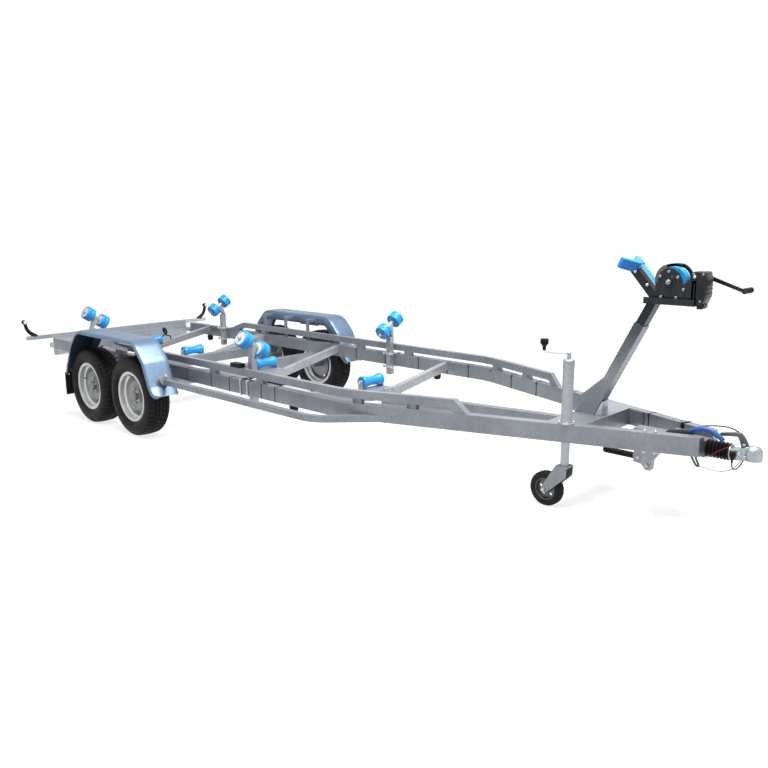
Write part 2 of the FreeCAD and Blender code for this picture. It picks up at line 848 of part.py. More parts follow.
def axle(label, ahead):
    """Rubber torsion axle: cross tube, two swing arms, stubs and brake backplates."""
    body = new_body(label)
    tube = size("axle_tube")
    arm_x = ahead + size("arm_length")
    top = size("beam_bottom")
    inner = size("arm_inner")
    pad(body, "YZ", arm_x - tube / 2, tube, box(-inner, inner, top - tube, top))
    height = wheel_height(ahead)
    backplate = wheel_centre_y - 38
    for side in (1, -1):
        start = inner if side > 0 else -inner - size("arm_thickness")
        pad(body, "XZ", start, size("arm_thickness"), [
            (ahead - 32, height - 32, 28), (arm_x + 25, top - tube + 2, 20), (arm_x + 40, top - 8, 20),
            (arm_x - 25, top - 4, 20), (ahead - 32, height + 36, 28),
        ])
        centre = (ahead, 0, height)
        reach = wheel_centre_y + size("stub_reach")
        revolve(body, "YZ", centre, rod(side * (inner + size("arm_thickness") - 1), side * reach,
                                        size("stub_radius")))
        revolve(body, "YZ", centre, rod(side * backplate, side * (backplate + 4), size("backplate_radius")))
        revolve(body, "YZ", centre, rod(side * (inner + size("arm_thickness") - 1), side * (backplate + 1), 32))
    place_node(body, label)


def axles():
    axle("axle_front", size("axle_spread") / 2)
    axle("axle_rear", -size("axle_spread") / 2)


roller_stations = {
    "middle": (size("middle_post_ahead"), size("twin_centre_y"), size("twin_spacing")),
    "rear": (-size("rear_post_behind"), size("rear_twin_centre_y"), size("rear_twin_spacing")),
}


def roller_post(name, side):
    """Square post clamped inside a main beam, with a sloped head and the twin rollers' shaft."""
    ahead, centre_y, spacing = roller_stations[name]
    body = new_body(f"post_{name}_{'left' if side > 0 else 'right'}")
    post = size("post_size")
    outer = beam_inner
    inner = outer - post
    centre_z = size("twin_centre_z")
    tilt = size("twin_tilt")
    pad(body, "XY", size("post_bottom"), size("post_top") - size("post_bottom"),
        box(ahead - post / 2, ahead + post / 2, side * inner, side * outer))
    pad(body, "YZ", ahead - post / 2, post, [
        (side * (outer - 18), size("post_top")), (side * outer, size("post_top")),
        (side * (centre_y + 18), centre_z + 10), (side * (centre_y - 24), centre_z - 14),
    ])
    turn = tilt if side > 0 else 180 - tilt
    origin = (ahead, side * centre_y, centre_z)
    half_gap = (spacing - size("twin_width")) / 2
    revolve(body, "YZ", origin, rod(-(half_gap - size("side_gap")), half_gap - size("side_gap"),
                                    size("head_radius")), turn)
    half_shaft = (spacing + size("twin_width")) / 2 + size("side_gap")
    revolve(body, "YZ", origin, rod(-half_shaft, half_shaft, size("twin_shaft_radius")), turn)
    revolve(body, "YZ", origin, rod(half_shaft - 1, half_shaft + 4, size("head_radius") * 0.8), turn)
    revolve(body, "YZ", origin, rod(-half_shaft - 4, -half_shaft + 1, size("head_radius") * 0.8), turn)
    return body


def clamp_bolt(name, side, ahead):
    """Bent bolt round a main beam that holds a roller post, with its strap behind the post."""
    body = new_body(f"clamp_{name}")
    bolt = size("bolt_radius")
    gap = size("seat_gap")
    low = size("beam_bottom") - gap - bolt * 2
    high = beam_top + gap + bolt * 2
    out = beam_outer + gap + bolt * 2
    start = beam_inner - size("post_size") - 20
    for near in (ahead - size("bolt_spacing") / 2, ahead + size("bolt_spacing") / 2):
        pad(body, "YZ", near - bolt, bolt * 2, [
            (side * start, low), (side * out, low, 12), (side * out, high, 12), (side * start, high),
            (side * start, high - bolt * 2), (side * (out - bolt * 2), high - bolt * 2),
            (side * (out - bolt * 2), low + bolt * 2), (side * start, low + bolt * 2),
        ])
    strap_x = size("bolt_spacing") / 2 + 16
    strap = [box(ahead - strap_x, ahead + strap_x, low - 4, low + bolt * 2 + 4),
             box(ahead - strap_x, ahead + strap_x, high - bolt * 2 - 4, high + 4)]
    face = beam_inner - size("post_size")
    strap_start = face - 6 if side > 0 else -face
    for shape in strap:
        pad(body, "XZ", strap_start, 6, shape)
    return body


def roller_posts():
    posts = []
    clamps = []
    for name, (ahead, _, _) in roller_stations.items():
        for side in (1, -1):
            posts.append(roller_post(name, side))
            clamps.append(clamp_bolt(f"{name}_{'left' if side > 0 else 'right'}", side, ahead))
    group("roller_posts", posts)
    group("post_clamps", clamps)


def twin_roller(name, side):
    """Pair of side rollers that share one sloped shaft."""
    ahead, centre_y, spacing = roller_stations[name]
    label = f"twin_roller_{name}_{'left' if side > 0 else 'right'}"
    bore = size("twin_shaft_radius") + size("running_gap")
    half = size("twin_width") / 2
    turn = size("twin_tilt") if side > 0 else 180 - size("twin_tilt")
    origin = (ahead, side * centre_y, size("twin_centre_z"))
    hub = size("twin_hub_radius")
    wheels = []
    for end, offset in (("outer", spacing / 2), ("inner", -spacing / 2)):
        piece = new_body(f"{label}_{end}")
        revolve(piece, "YZ", origin, [
            (offset - half + 5, bore), (offset - half + 5, hub), (offset - half, hub),
            (offset - half, size("twin_radius"), 9), (offset + half, size("twin_radius"), 9),
            (offset + half, hub), (offset + half - 5, hub), (offset + half - 5, bore),
        ], turn)
        wheels.append(piece)
    group(label, wheels)


def twin_rollers():
    for name in roller_stations:
        twin_roller(name, 1)
        twin_roller(name, -1)


keel_stations = {
    "front": (as_size(1948), as_size(510), size("front_cross_ahead"), size("front_cross_centre")),
    "middle": (as_size(700), as_size(492), size("middle_cross_ahead"), size("middle_cross_centre")),
    "axle": (as_size(-389), as_size(480), -size("axle_cross_behind"), size("axle_cross_centre")),
    "rear": (as_size(-1106), as_size(504), -size("rear_cross_behind"), size("rear_cross_centre")),
}


def keel_bracket(name, ahead, height, cross, cross_top):
    """Channel on a crossmember whose ears carry a keel roller's pin."""
    body = new_body(f"keel_bracket_{name}")
    half = size("keel_length") / 2 + size("ear_gap")
    ear = size("ear_thickness")
    side = size("ear_half_width")
    low = min((ahead, cross), key=lambda value: value.value) - side
    high = max((ahead, cross), key=lambda value: value.value) + side
    pad(body, "XY", cross_top, ear, box(low, high, -half - ear, half + ear))
    for start in (half, -half - ear):
        pad(body, "XZ", start, ear, [
            (ahead - side, cross_top), (ahead + side, cross_top), (ahead + side, height + 18, 12),
            (ahead - side, height + 18, 12),
        ])
    revolve(body, "YZ", (ahead, 0, height), rod(-half - ear - 6, half + ear + 6, size("keel_pin_radius")))
    return body


def keel_roller(label, ahead, height):
    """Waisted keel roller on its pin."""
    body = new_body(label)
    half = size("keel_length") / 2
    bore = size("keel_pin_radius") + size("running_gap")
    radius = size("keel_radius")
    waist = size("keel_waist")
    revolve(body, "YZ", (ahead, 0, height), [
        (-half, bore), (-half, radius, 6), (-half * 0.72, radius, 40), (-half * 0.2, waist, 60),
        (half * 0.2, waist, 60), (half * 0.72, radius, 40), (half, radius, 6), (half, bore),
    ])
    place_node(body, label)


def keel_rollers():
    brackets = []
    for name, (ahead, height, cross, cross_top) in keel_stations.items():
        brackets.append(keel_bracket(name, ahead, height, cross, cross_top))
        keel_roller(f"keel_roller_{name}", ahead, height)
    group("keel_brackets", brackets)


def mast_point(along, across):
    """Point of the leaning winch post, given along and across it from the rear corner of its foot."""
    lean = size("mast_lean")
    x = size("mast_foot") + along * sine(lean) + across * cosine(lean)
    z = beam_top + along * cosine(lean) - across * sine(lean)
    return (x, z)


def mast_length():
    """Length of the lower tube, a share of the way up to the winch plate."""
    return (winch_plate_bottom() - beam_top) / cosine(size("mast_lean")) * size("mast_share")


def winch_post():
    """Base plate between the beams with the leaning lower tube and its gussets."""
    body = new_body("winch_post")
    wall = size("channel_wall")
    height = size("channel_height")
    rear = size("channel_rear")
    front = size("drawbar_cross_front") - size("drawbar_cross_width")
    pad(body, "XY", beam_top - height, height, between_beams(rear, front))
    cut(body, "XY", beam_top - height - 1, height + 1 - wall, between_beams(rear + wall, front + 1))
    depth = size("mast_depth")
    foot = size("mast_foot")
    width = size("mast_width")
    length = mast_length()
    heel = foot + depth / cosine(size("mast_lean"))
    pad(body, "XZ", -width / 2, width, [
        (foot, beam_top), mast_point(length, 0), mast_point(length, depth), (heel, beam_top),
    ])
    wall = size("mast_wall")
    cut(body, "XZ", -width / 2 + wall, width - wall * 2, [
        mast_point(60, wall), mast_point(length + 5, wall),
        mast_point(length + 5, depth - wall), mast_point(60, depth - wall),
    ])
    gusset = size("gusset_thickness")
    stand = size("gusset_reach")
    for start in (width / 2 - gusset * 2, -width / 2 + gusset):
        pad(body, "XZ", start, gusset, [(rear, beam_top), mast_point(210, 2), (foot + 10, beam_top)])
        pad(body, "XZ", start, gusset, [
            (heel - 6, beam_top), (heel - 3 + stand, beam_top + stand / tangent(size("mast_lean"))),
            (heel + stand, beam_top),
        ])
    place_node(body, "winch_post")


def winch_mast():
    """Upper tube that slides in the winch post and carries the winch plate."""
    body = new_body("winch_mast")
    fit = size("mast_wall") + size("seat_gap")
    depth = size("mast_depth")
    width = size("mast_width") - fit * 2
    lean = size("mast_lean")
    plate_bottom = winch_plate_bottom()
    rise = plate_bottom - beam_top
    rear_x = size("mast_foot") + fit / cosine(lean) + rise * tangent(lean)
    front_x = size("mast_foot") + (depth - fit) / cosine(lean) + rise * tangent(lean)
    start = mast_length() * (1 - size("mast_overlap"))
    pad(body, "XZ", -width / 2, width, [
        mast_point(start, fit), (rear_x, plate_bottom), (front_x, plate_bottom),
        mast_point(start, depth - fit),
    ])
    place_node(body, "winch_mast")


def winch_plate_bottom():
    return size("drum_height") - size("plate_below_drum")


def arm_top():
    """Rear corner of the sloped arm's top, where the bow stop sits."""
    run = (size("pad_rise") - size("plate_thickness")) * tangent(size("arm_slope"))
    return (size("drum_ahead") - size("arm_foot_behind") - run, winch_plate_bottom() + size("pad_rise"))


def crank_centre():
    return (size("drum_ahead") + size("crank_beyond_drum"), size("drum_height") + size("crank_rise"))


def winch_bracket():
    """Folded plate under the winch with the arm that carries the bow stop."""
    body = new_body("winch_bracket")
    bottom = winch_plate_bottom()
    gauge = size("plate_thickness")
    half = size("plate_half_width")
    drum = size("drum_ahead")
    rear = drum - size("plate_behind_drum")
    front = drum + size("plate_beyond_drum")
    pad(body, "XZ", -half, half * 2, box(rear, front, bottom, bottom + gauge))
    for start in (-half, half - gauge):
        pad(body, "XZ", start, gauge, box(rear, front, bottom, bottom + size("flange_height")))
    foot = drum - size("arm_foot_behind")
    top_x, top_z = arm_top()
    arm = size("arm_half_width")
    pad(body, "XZ", -arm, arm * 2, [
        (foot, bottom + gauge), (top_x, top_z), (top_x + size("arm_width"), top_z),
        (foot + size("arm_width"), bottom + gauge),
    ])
    place_node(body, "winch_bracket")


def bow_pad():
    """Moulded V block that takes the boat's bow."""
    body = new_body("bow_pad")
    top_x, top_z = arm_top()
    notch = top_x + 12
    half = size("pad_half_width")
    depth = size("pad_depth")
    pad(body, "XY", top_z, size("pad_height"), [
        (notch, 0), (notch - depth, half - 18), (notch - depth + 20, half), (notch + 40, 26),
        (notch + 40, -26), (notch - depth + 20, -half), (notch - depth, 18 - half),
    ])
    place_node(body, "bow_pad")


def winch_housing():
    """Round cheeks with the guard over the drum, and the gear box in front of it."""
    body = new_body("winch_housing")
    floor = winch_plate_bottom() + size("plate_thickness")
    cheek = size("cheek_thickness")
    half = size("drum_half_width") + size("side_gap")
    drum_x = size("drum_ahead")
    drum_z = size("drum_height")
    radius = size("guard_radius")
    front = drum_x + size("gear_box_front")
    pad(body, "XZ", -half - cheek, (half + cheek) * 2, {"centre": (drum_x, drum_z), "radius": radius})
    cut(body, "XZ", -half, half * 2, {"centre": (drum_x, drum_z), "radius": radius - cheek})
    cut(body, "XZ", -half, half * 2, box(drum_x - radius - 1, drum_x + radius + 1, floor - 1, drum_z))
    for start in (half, -half - cheek):
        pad(body, "XZ", start, cheek, box(drum_x - 66, front, floor, drum_z))
    pad(body, "XZ", -half - cheek, (half + cheek) * 2,
        box(drum_x + size("gear_box_behind"), front, floor, floor + size("gear_box_height")))
    pad(body, "XZ", -half - cheek, (half + cheek) * 2, box(drum_x - 20, front, floor, floor + cheek))
    cut(body, "XZ", -half - cheek - 1, half * 2 + cheek * 2 + 2,
        {"centre": (drum_x, drum_z), "radius": size("drum_shaft_radius") + size("running_gap")},
        {"centre": crank_centre(), "radius": size("crank_shaft_radius") + size("running_gap")})
    place_node(body, "winch_housing")


def winch_drum():
    """Drum with its shaft and the strap wound on it."""
    body = new_body("winch_drum")
    half = size("drum_half_width")
    shaft = size("drum_shaft_radius")
    origin = (size("drum_ahead"), 0, size("drum_height"))
    roll = size("strap_roll_radius")
    end = half + size("side_gap") + 12
    revolve(body, "YZ", origin, [
        (-end, 0), (-end, shaft), (-half, shaft), (-half, size("drum_flange_radius")),
        (-half + 4, size("drum_flange_radius")), (-half + 4, roll), (half - 4, roll),
        (half - 4, size("drum_flange_radius")), (half, size("drum_flange_radius")), (half, shaft),
        (end, shaft), (end, 0),
    ])
    place_node(body, "winch_drum")


def winch_crank():
    """Crank shaft with its arm and grip."""
    body = new_body("winch_crank")
    shaft = size("crank_shaft_radius")
    half = size("drum_half_width") + size("side_gap")
    centre_x, centre_z = crank_centre()
    arm_y = half + 34
    revolve(body, "YZ", (centre_x, 0, centre_z), rod(-half - 14, arm_y + 6, shaft))
    reach = size("crank_length")
    tip_x = centre_x + reach * cosine(size("crank_drop"))
    tip_z = centre_z - reach * sine(size("crank_drop"))
    pad(body, "XZ", arm_y, 6, [
        (centre_x - 14, centre_z - 12, 8), (tip_x - 6, tip_z - 10, 6), (tip_x + 14, tip_z - 14, 6),
        (tip_x + 14, tip_z + 8, 6), (centre_x + 2, centre_z + 16, 8),
    ])
    revolve(body, "YZ", (tip_x, 0, tip_z), rod(arm_y + 5, arm_y + 5 + size("grip_length"), size("grip_radius")))
    place_node(body, "winch_crank")


def jockey_tube():
    """Outer tube on the right beam with its flange, cap and folding crank."""
    body = new_body("jockey_tube")
    ahead = size("jockey_ahead")
    side_y = -drawbar_centre(ahead)
    origin = (ahead, side_y, 0)
    radius = size("jockey_tube_radius")
    bore = size("jockey_leg_radius") + size("running_gap")
    top = size("jockey_tube_top")
    revolve_upright(body, origin, [
        (bore, beam_top), (radius + 14, beam_top), (radius + 14, beam_top + 8), (radius, beam_top + 8),
        (radius, top, 12), (9, top), (9, top + 22), (0, top + 22), (0, top - 20), (bore, top - 20),
    ])
    pad(body, "XZ", side_y - 6, 12, box(ahead - 150, ahead + 4, top + 10, top + 20))
    revolve_upright(body, (ahead - 144, side_y, 0), [(0, top + 10), (11, top + 10), (13, top + 84, 6),
                                                      (0, top + 84)])
    place_node(body, "jockey_tube")


def jockey_leg():
    """Inner tube that winds up and down."""
    body = new_body("jockey_leg")
    ahead = size("jockey_ahead")
    origin = (ahead, -drawbar_centre(ahead), 0)
    leg = size("jockey_leg_radius")
    bottom = size("jockey_leg_bottom")
    revolve_upright(body, origin, [
        (0, bottom), (leg, bottom), (leg, size("jockey_tube_top") - 190), (0, size("jockey_tube_top") - 190),
    ])
    place_node(body, "jockey_leg")


def jockey_fork():
    """Swivelling fork with its trailing arms and the wheel's axle."""
    body = new_body("jockey_fork")
    ahead = size("jockey_ahead")
    side_y = -drawbar_centre(ahead)
    bottom = size("jockey_leg_bottom") - size("seat_gap")
    wheel_x = ahead - size("jockey_trail")
    wheel_z = floor_height(wheel_x) + size("jockey_wheel_radius") / cosine(pitch)
    half = size("jockey_wheel_width") / 2 + 4
    plate = size("fork_thickness")
    pad(body, "XY", bottom - 10, 10, box(ahead - 34, ahead + 34, side_y - half - plate, side_y + half + plate))
    for start in (side_y + half, side_y - half - plate):
        pad(body, "XZ", start, plate, [
            (ahead + 34, bottom), (ahead - 34, bottom), (wheel_x - 18, wheel_z + 8, 12),
            (wheel_x - 4, wheel_z - 18, 12), (wheel_x + 20, wheel_z - 12, 8), (ahead + 30, bottom - 62, 12),
        ])
    revolve(body, "YZ", (wheel_x, side_y, wheel_z),
            rod(-half - plate - 4, half + plate + 4, size("jockey_axle_radius")))
    place_node(body, "jockey_fork")


def jockey_wheel():
    """Solid rubber wheel of the jockey."""
    body = new_body("jockey_wheel")
    ahead = size("jockey_ahead")
    wheel_x = ahead - size("jockey_trail")
    wheel_z = floor_height(wheel_x) + size("jockey_wheel_radius") / cosine(pitch)
    half = size("jockey_wheel_width") / 2
    bore = size("jockey_axle_radius") + size("running_gap")
    radius = size("jockey_wheel_radius")
    revolve(body, "YZ", (wheel_x, -drawbar_centre(ahead), wheel_z), [
        (-half, bore), (-half, 22), (-half + 14, 26), (-half + 14, 60), (-half, 66), (-half, radius, 14),
        (half, radius, 14), (half, 66), (half - 14, 60), (half - 14, 26), (half, 22), (half, bore),
    ])
    place_node(body, "jockey_wheel")


def overrun_housing():
    """Box between the beams that guides the coupling shaft, with the cable gland on it."""
    body = new_body("overrun_housing")
    half = size("housing_width") / 2
    height = size("housing_height")
    low = size("coupling_centre") - height / 2
    rear = size("housing_rear")
    front = size("beam_front")
    pad(body, "XY", low, height, box(rear, front, -half, half))
    pad(body, "XY", low + 24, 8, between_beams(rear + 60, front - 30))
    gland = size("gland_radius")
    pad(body, "XY", low + height - 1, gland * 2 + 5, box(front - 190, front - 158, 18, 42))
    revolve(body, "XZ", (front - 160, 30, low + height + gland + 2), rod(0, size("gland_length"), gland))
    place_node(body, "overrun_housing")


def coupling_bellows():
    """Folded rubber boot over the coupling shaft."""
    body = new_body("coupling_bellows")
    length = size("bellows_length")
    outer = size("bellows_radius")
    fold = length / size("bellows_folds")
    outline = [(0, size("shaft_radius") + 2)]
    for step in range(int(sizes["bellows_folds"])):
        outline.append((fold * (step + 0.15), outer))
        outline.append((fold * (step + 0.6), outer - 12))
    outline.append((length, outer - 4))
    outline.append((length, size("shaft_radius") + 2))
    revolve(body, "XZ", (size("beam_front"), 0, size("coupling_centre")), outline)
    place_node(body, "coupling_bellows")


def coupling_head():
    """Ball coupling with its neck, handle and the eye of the safety cable."""
    body = new_body("coupling_head")
    front = size("beam_front")
    centre = size("coupling_centre")
    start = front + size("bellows_length") + 2
    tip = start - 2 + size("coupling_length")
    cover = size("ball_cover_radius")
    neck = size("neck_half_width")
    ball_x = tip - cover
    revolve(body, "XZ", (front, 0, centre), rod(0, size("bellows_length") + 60, size("shaft_radius")))
    pad(body, "XY", centre - 34, 60, [
        (start, -neck, 8), (ball_x - 28, -neck), (ball_x - 28, neck), (start, neck, 8),
    ])
    revolve_upright(body, (ball_x, 0, 0), [
        (0, centre + 53), (cover / 2, centre + 53, 12), (cover - 4, centre + 36, 14), (cover, centre + 6),
        (cover, centre - 22), (0, centre - 22),
    ])
    cut(body, "XY", centre - 23, 46, {"centre": (ball_x, 0), "radius": size("socket_radius")})
    handle = size("handle_half_width")
    pad(body, "XZ", -handle, handle * 2, [
        (tip - 112, centre + 20), (tip - 60, centre + 44), (tip - 66, centre + 62, 6),
        (tip - 104, centre + 92, 8), (tip - 124, centre + 78, 6),
    ])
    revolve(body, "YZ", (front + 195, 0, centre - 8), rod(-neck - 8, 1 - neck, size("eye_radius")))
    place_node(body, "coupling_head")


def brake_lever():
    """Hand brake lever beside the overrun housing, curved over the bellows."""
    body = new_body("brake_lever")
    centre = size("coupling_centre")
    top = centre + size("housing_height") / 2
    rear = size("housing_rear")
    front = size("beam_front")
    thick = size("lever_thickness")
    pad(body, "XZ", -size("housing_width") / 2 - size("seat_gap") - thick, thick, [
        (rear + 180, top - 32), (rear + 250, top - 32), (front - 62, centre + 72, 10),
        (front - 12, centre + 108, 20), (front + 84, centre + 50, 6), (front + 96, centre + 72, 6),
        (front - 6, centre + 136, 24), (front - 76, centre + 100, 14), (rear + 200, top + 30, 12),
    ])
    place_node(body, "brake_lever")


def brake_linkage():
    """Relay bracket under the overrun housing with the spring cylinder."""
    body = new_body("brake_linkage")
    rear = size("housing_rear")
    low = size("coupling_centre") - size("housing_height") / 2
    pad(body, "XZ", -20, 40, [
        (rear, low), (rear + 168, low), (rear + 105, low - 91), (rear + 102, low - 145, 6),
        (rear + 70, low - 145, 6), (rear + 46, low - 115), (rear, low - 110),
    ])
    revolve(body, "XZ", (rear, 0, low - 81), rod(-size("spring_length"), 5, size("spring_radius")))
    place_node(body, "brake_linkage")


def cord(label, points, diameter):
    """Round cord along straight runs that tangent arcs join."""
    spots = [FreeCAD.Vector(*(as_size(value).value for value in point)) for point in points]
    edges = []
    radii = []
    start = spots[0]
    for before, corner, after in zip(spots, spots[1:], spots[2:]):
        back = before - corner
        onward = after - corner
        reach = 0.45 * min(back.Length, onward.Length)
        back.normalize()
        onward.normalize()
        half_turn = (math.pi - back.getAngle(onward)) / 2
        radius = reach / math.tan(half_turn)
        inward = back + onward
        inward.normalize()
        middle = corner + inward * (radius / math.cos(half_turn) - radius)
        edges.append(Part.LineSegment(start, corner + back * reach).toShape())
        edges.append(Part.Arc(corner + back * reach, middle, corner + onward * reach).toShape())
        start = corner + onward * reach
        radii.append(round(radius))
    edges.append(Part.LineSegment(start, spots[-1]).toShape())
    path = Part.Wire(edges)
    radius = as_size(diameter).value / 2
    section = Part.Wire([Part.Circle(spots[0], spots[1] - spots[0], radius).toShape()])
    tube = document.addObject("Part::Feature", label)
    tube.Shape = path.makePipeShell([section], True, True)
    place_node(tube, label)
    filled = tube.Shape.Volume / (math.pi * radius * radius * path.Length)
    print(label, "length", round(path.Length), "radii", radii, "volume share", round(filled, 4))


def electric_cable():
    """Lead from the gland over the bellows and under the neck to the plug parked beside it."""
    front = size("beam_front")
    centre = size("coupling_centre")
    plug = size("plug_radius")
    plug_x = front + 140
    plug_y = -size("neck_half_width") - size("seat_gap") - plug
    exit_z = centre + size("housing_height") / 2 + size("gland_radius") + 2
    cord("electric_cable", [
        (front - 160 + size("gland_length"), 30, exit_z), (front - 120, 30, exit_z),
        (front - 86, 30, centre + 80), (front - 42, 27, centre + 104), (front + 19, 24, centre + 116),
        (front + 81, 24, centre + 122), (front + 128, 30, centre + 109), (front + 161, 42, centre + 80),
        (front + 175, 53, centre + 38), (front + 173, 60, centre - 6), (front + 163, 60, centre - 47),
        (front + 151, 42, centre - 80), (front + 142, 8, centre - 92), (plug_x, -27, centre - 79),
        (plug_x, plug_y, centre - 50), (plug_x, plug_y, centre - 24),
    ], size("electric_cable"))
    body = new_body("electric_plug")
    revolve_upright(body, (plug_x, plug_y, 0), [
        (0, centre - 24), (plug - 4, centre - 24), (plug, centre - 14), (plug, centre + 16), (0, centre + 16),
    ])
    place_node(body, "electric_plug")


def safety_cables():
    """Steel cable that hangs from the head's eye to its hook, and the brake's thin cable."""
    front = size("beam_front")
    centre = size("coupling_centre")
    eye_y = -size("neck_half_width") - 8
    hook_x = front - 13
    hook_y = -87
    hook_z = centre - 83
    cord("safety_cable", [
        (front + 195, eye_y, centre - 8), (front + 195, eye_y - 22, centre - 8),
        (front + 189, eye_y - 40, centre - 22), (front + 175, eye_y - 48, centre - 46),
        (front + 151, eye_y - 48, centre - 69), (front + 110, -80, centre - 87),
        (front + 63, -78, centre - 93), (front + 19, hook_y, hook_z), (hook_x, hook_y, hook_z),
    ], size("safety_cable"))
    hook = new_body("cable_hook")
    pad(hook, "XZ", -96, 12, [
        (hook_x - 46, size("beam_bottom")), (hook_x - 28, size("beam_bottom")), (hook_x - 6, hook_z + 32, 8),
        (hook_x, hook_z + 6), (hook_x, hook_z - 6), (hook_x - 20, hook_z - 2, 8),
    ])
    place_node(hook, "cable_hook")
    cord("breakaway_cable", [
        (front, -42, centre - 42), (front + 19, -42, centre - 42), (front + 43, -56, centre - 18),
        (front + 73, -60, centre + 8), (front + 107, -57, centre + 30), (front + 133, -56, centre + 46),
        (front + 155, -50, centre + 57), (front + 173, -36, centre + 64),
        (front + 173, -size("handle_half_width"), centre + 64),
    ], size("breakaway_cable"))


def light_board():
    """Rear lamp board on arms that slide in the beams, with its cross bar."""
    body = new_body("light_board")
    rear = -size("board_behind")
    thick = size("board_thickness")
    half = size("board_half_width")
    low = size("board_bottom")
    high = size("board_top")
    pad(body, "XY", low, high - low, box(rear - thick / 2, rear + thick / 2, -half, half))
    bar = size("bar_size")
    pad(body, "YZ", rear - bar / 2, bar, box(-size("bar_half_width"), size("bar_half_width"),
                                             high - 4, high + bar - 4))
    wall = size("beam_wall")
    gap = size("seat_gap")
    for side in (1, -1):
        pad(body, "XY", size("beam_bottom") + wall, 40,
            box(rear, -size("beam_rear") + 120, side * (beam_inner + wall + gap),
                side * (beam_outer - wall - gap)))
    pieces = [body]
    place_node(body, "light_board")
    return pieces


def tail_lamps():
    """Two lamp units on the back of the board."""
    lamps = []
    rear = -size("board_behind") - size("board_thickness") / 2
    for side in (1, -1):
        body = new_body(f"tail_lamp_{'left' if side > 0 else 'right'}")
        pad(body, "XY", size("board_bottom") + 12, 96,
            [(rear, side * 480), (rear, side * 720), (rear - 44, side * 712, 12),
             (rear - 44, side * 488, 12)])
        lamps.append(body)
    group("tail_lamps", lamps)


def marker_lamp(side):
    """Rubber stalk with a lamp facing front and rear."""
    body = new_body(f"marker_{'left' if side > 0 else 'right'}")
    rear = -size("board_behind")
    foot = size("board_top") + size("bar_size") - 4
    path = add_sketch(body, "YZ", (rear, 0, 0))
    trace(path, [(side * 915, foot), (side * 930, foot + 34, 40), (side * 1000, foot + 132)], closed=False)
    profile = add_sketch(body, "XY", (0, 0, foot))
    circle(profile, (rear, side * 915), size("stalk_radius"))
    sweep = body.newObject("PartDesign::AdditivePipe", f"{body.Name}_sweep")
    sweep.Profile = profile
    sweep.Spine = (path, [])
    revolve(body, "XZ", (rear, side * 1004, foot + 138), rod(-30, 30, 22))
    return body


def marker_lamps():
    group("marker_lamps", [marker_lamp(1), marker_lamp(-1)])


def build():
    """Builds every piece."""
    main_beam("main_beam_left", 1)
    main_beam("main_beam_right", -1)
    upper_rails()
    guard_tubes()
    crossmembers()
    drawbar_crossmember()
    spine_beam()
    fenders()
    mudflaps()
    axles()
    road_wheels()
    roller_posts()
    twin_rollers()
    keel_rollers()
    winch_post()
    winch_mast()
    winch_bracket()
    bow_pad()
    winch_housing()
    winch_drum()
    winch_crank()
    jockey_tube()
    jockey_leg()
    jockey_fork()
    jockey_wheel()
    overrun_housing()
    coupling_bellows()
    coupling_head()
    brake_lever()
    brake_linkage()
    electric_cable()
    safety_cables()
    light_board()
    tail_lamps()
    marker_lamps()


def check_and_export():
    """Stops on a failed object or a bad solid, then writes every node."""
    document.recompute()
    for item in document.Objects:
        if "Invalid" in item.State or "Error" in item.State:
            raise RuntimeError(f"{item.Label} failed: {item.State}")
    for node in nodes:
        if node.Shape.isNull() or not node.Shape.isValid():
            raise RuntimeError(f"{node.Label} has no valid shape")
    os.makedirs("parts", exist_ok=True)
    for node in nodes:
        node.Shape.exportStep(f"parts/{node.Label}.step")
        print(node.Label, len(node.Shape.Solids), round(node.Shape.Volume / 1e6, 3))


build()
check_and_export()
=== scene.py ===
import math

import bpy
from mathutils import Matrix, Vector


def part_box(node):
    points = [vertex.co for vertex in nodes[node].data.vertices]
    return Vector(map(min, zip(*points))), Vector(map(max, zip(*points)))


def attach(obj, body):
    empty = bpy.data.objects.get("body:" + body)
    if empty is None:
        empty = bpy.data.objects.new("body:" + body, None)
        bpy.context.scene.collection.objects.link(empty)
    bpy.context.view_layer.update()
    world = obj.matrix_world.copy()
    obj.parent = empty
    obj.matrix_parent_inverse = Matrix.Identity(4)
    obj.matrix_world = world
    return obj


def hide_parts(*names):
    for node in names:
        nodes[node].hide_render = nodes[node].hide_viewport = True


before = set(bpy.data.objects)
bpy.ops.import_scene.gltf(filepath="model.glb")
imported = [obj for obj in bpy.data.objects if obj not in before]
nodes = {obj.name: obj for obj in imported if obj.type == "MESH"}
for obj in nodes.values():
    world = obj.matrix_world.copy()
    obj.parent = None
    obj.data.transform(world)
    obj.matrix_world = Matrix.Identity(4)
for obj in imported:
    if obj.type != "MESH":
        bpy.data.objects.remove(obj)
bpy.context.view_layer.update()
print("frame loaded:", len(nodes), "nodes")

# Pieces are drawn level, x ahead of the middle of the axle pair, then pitched as the trailer is parked
parkPitch = math.radians(1.14)
parkPlace = Matrix.Translation((-1.4859, 0, 0)) @ Matrix.Rotation(parkPitch, 4, "Y")
beamSet = {"low": 0.466, "top": 0.566, "half": 0.030, "aside": 0.760, "bend": 2.46, "turn": math.radians(19.03)}


def beamCentre(ahead):
    return beamSet["aside"] - max(0, ahead - beamSet["bend"]) * math.tan(beamSet["turn"])


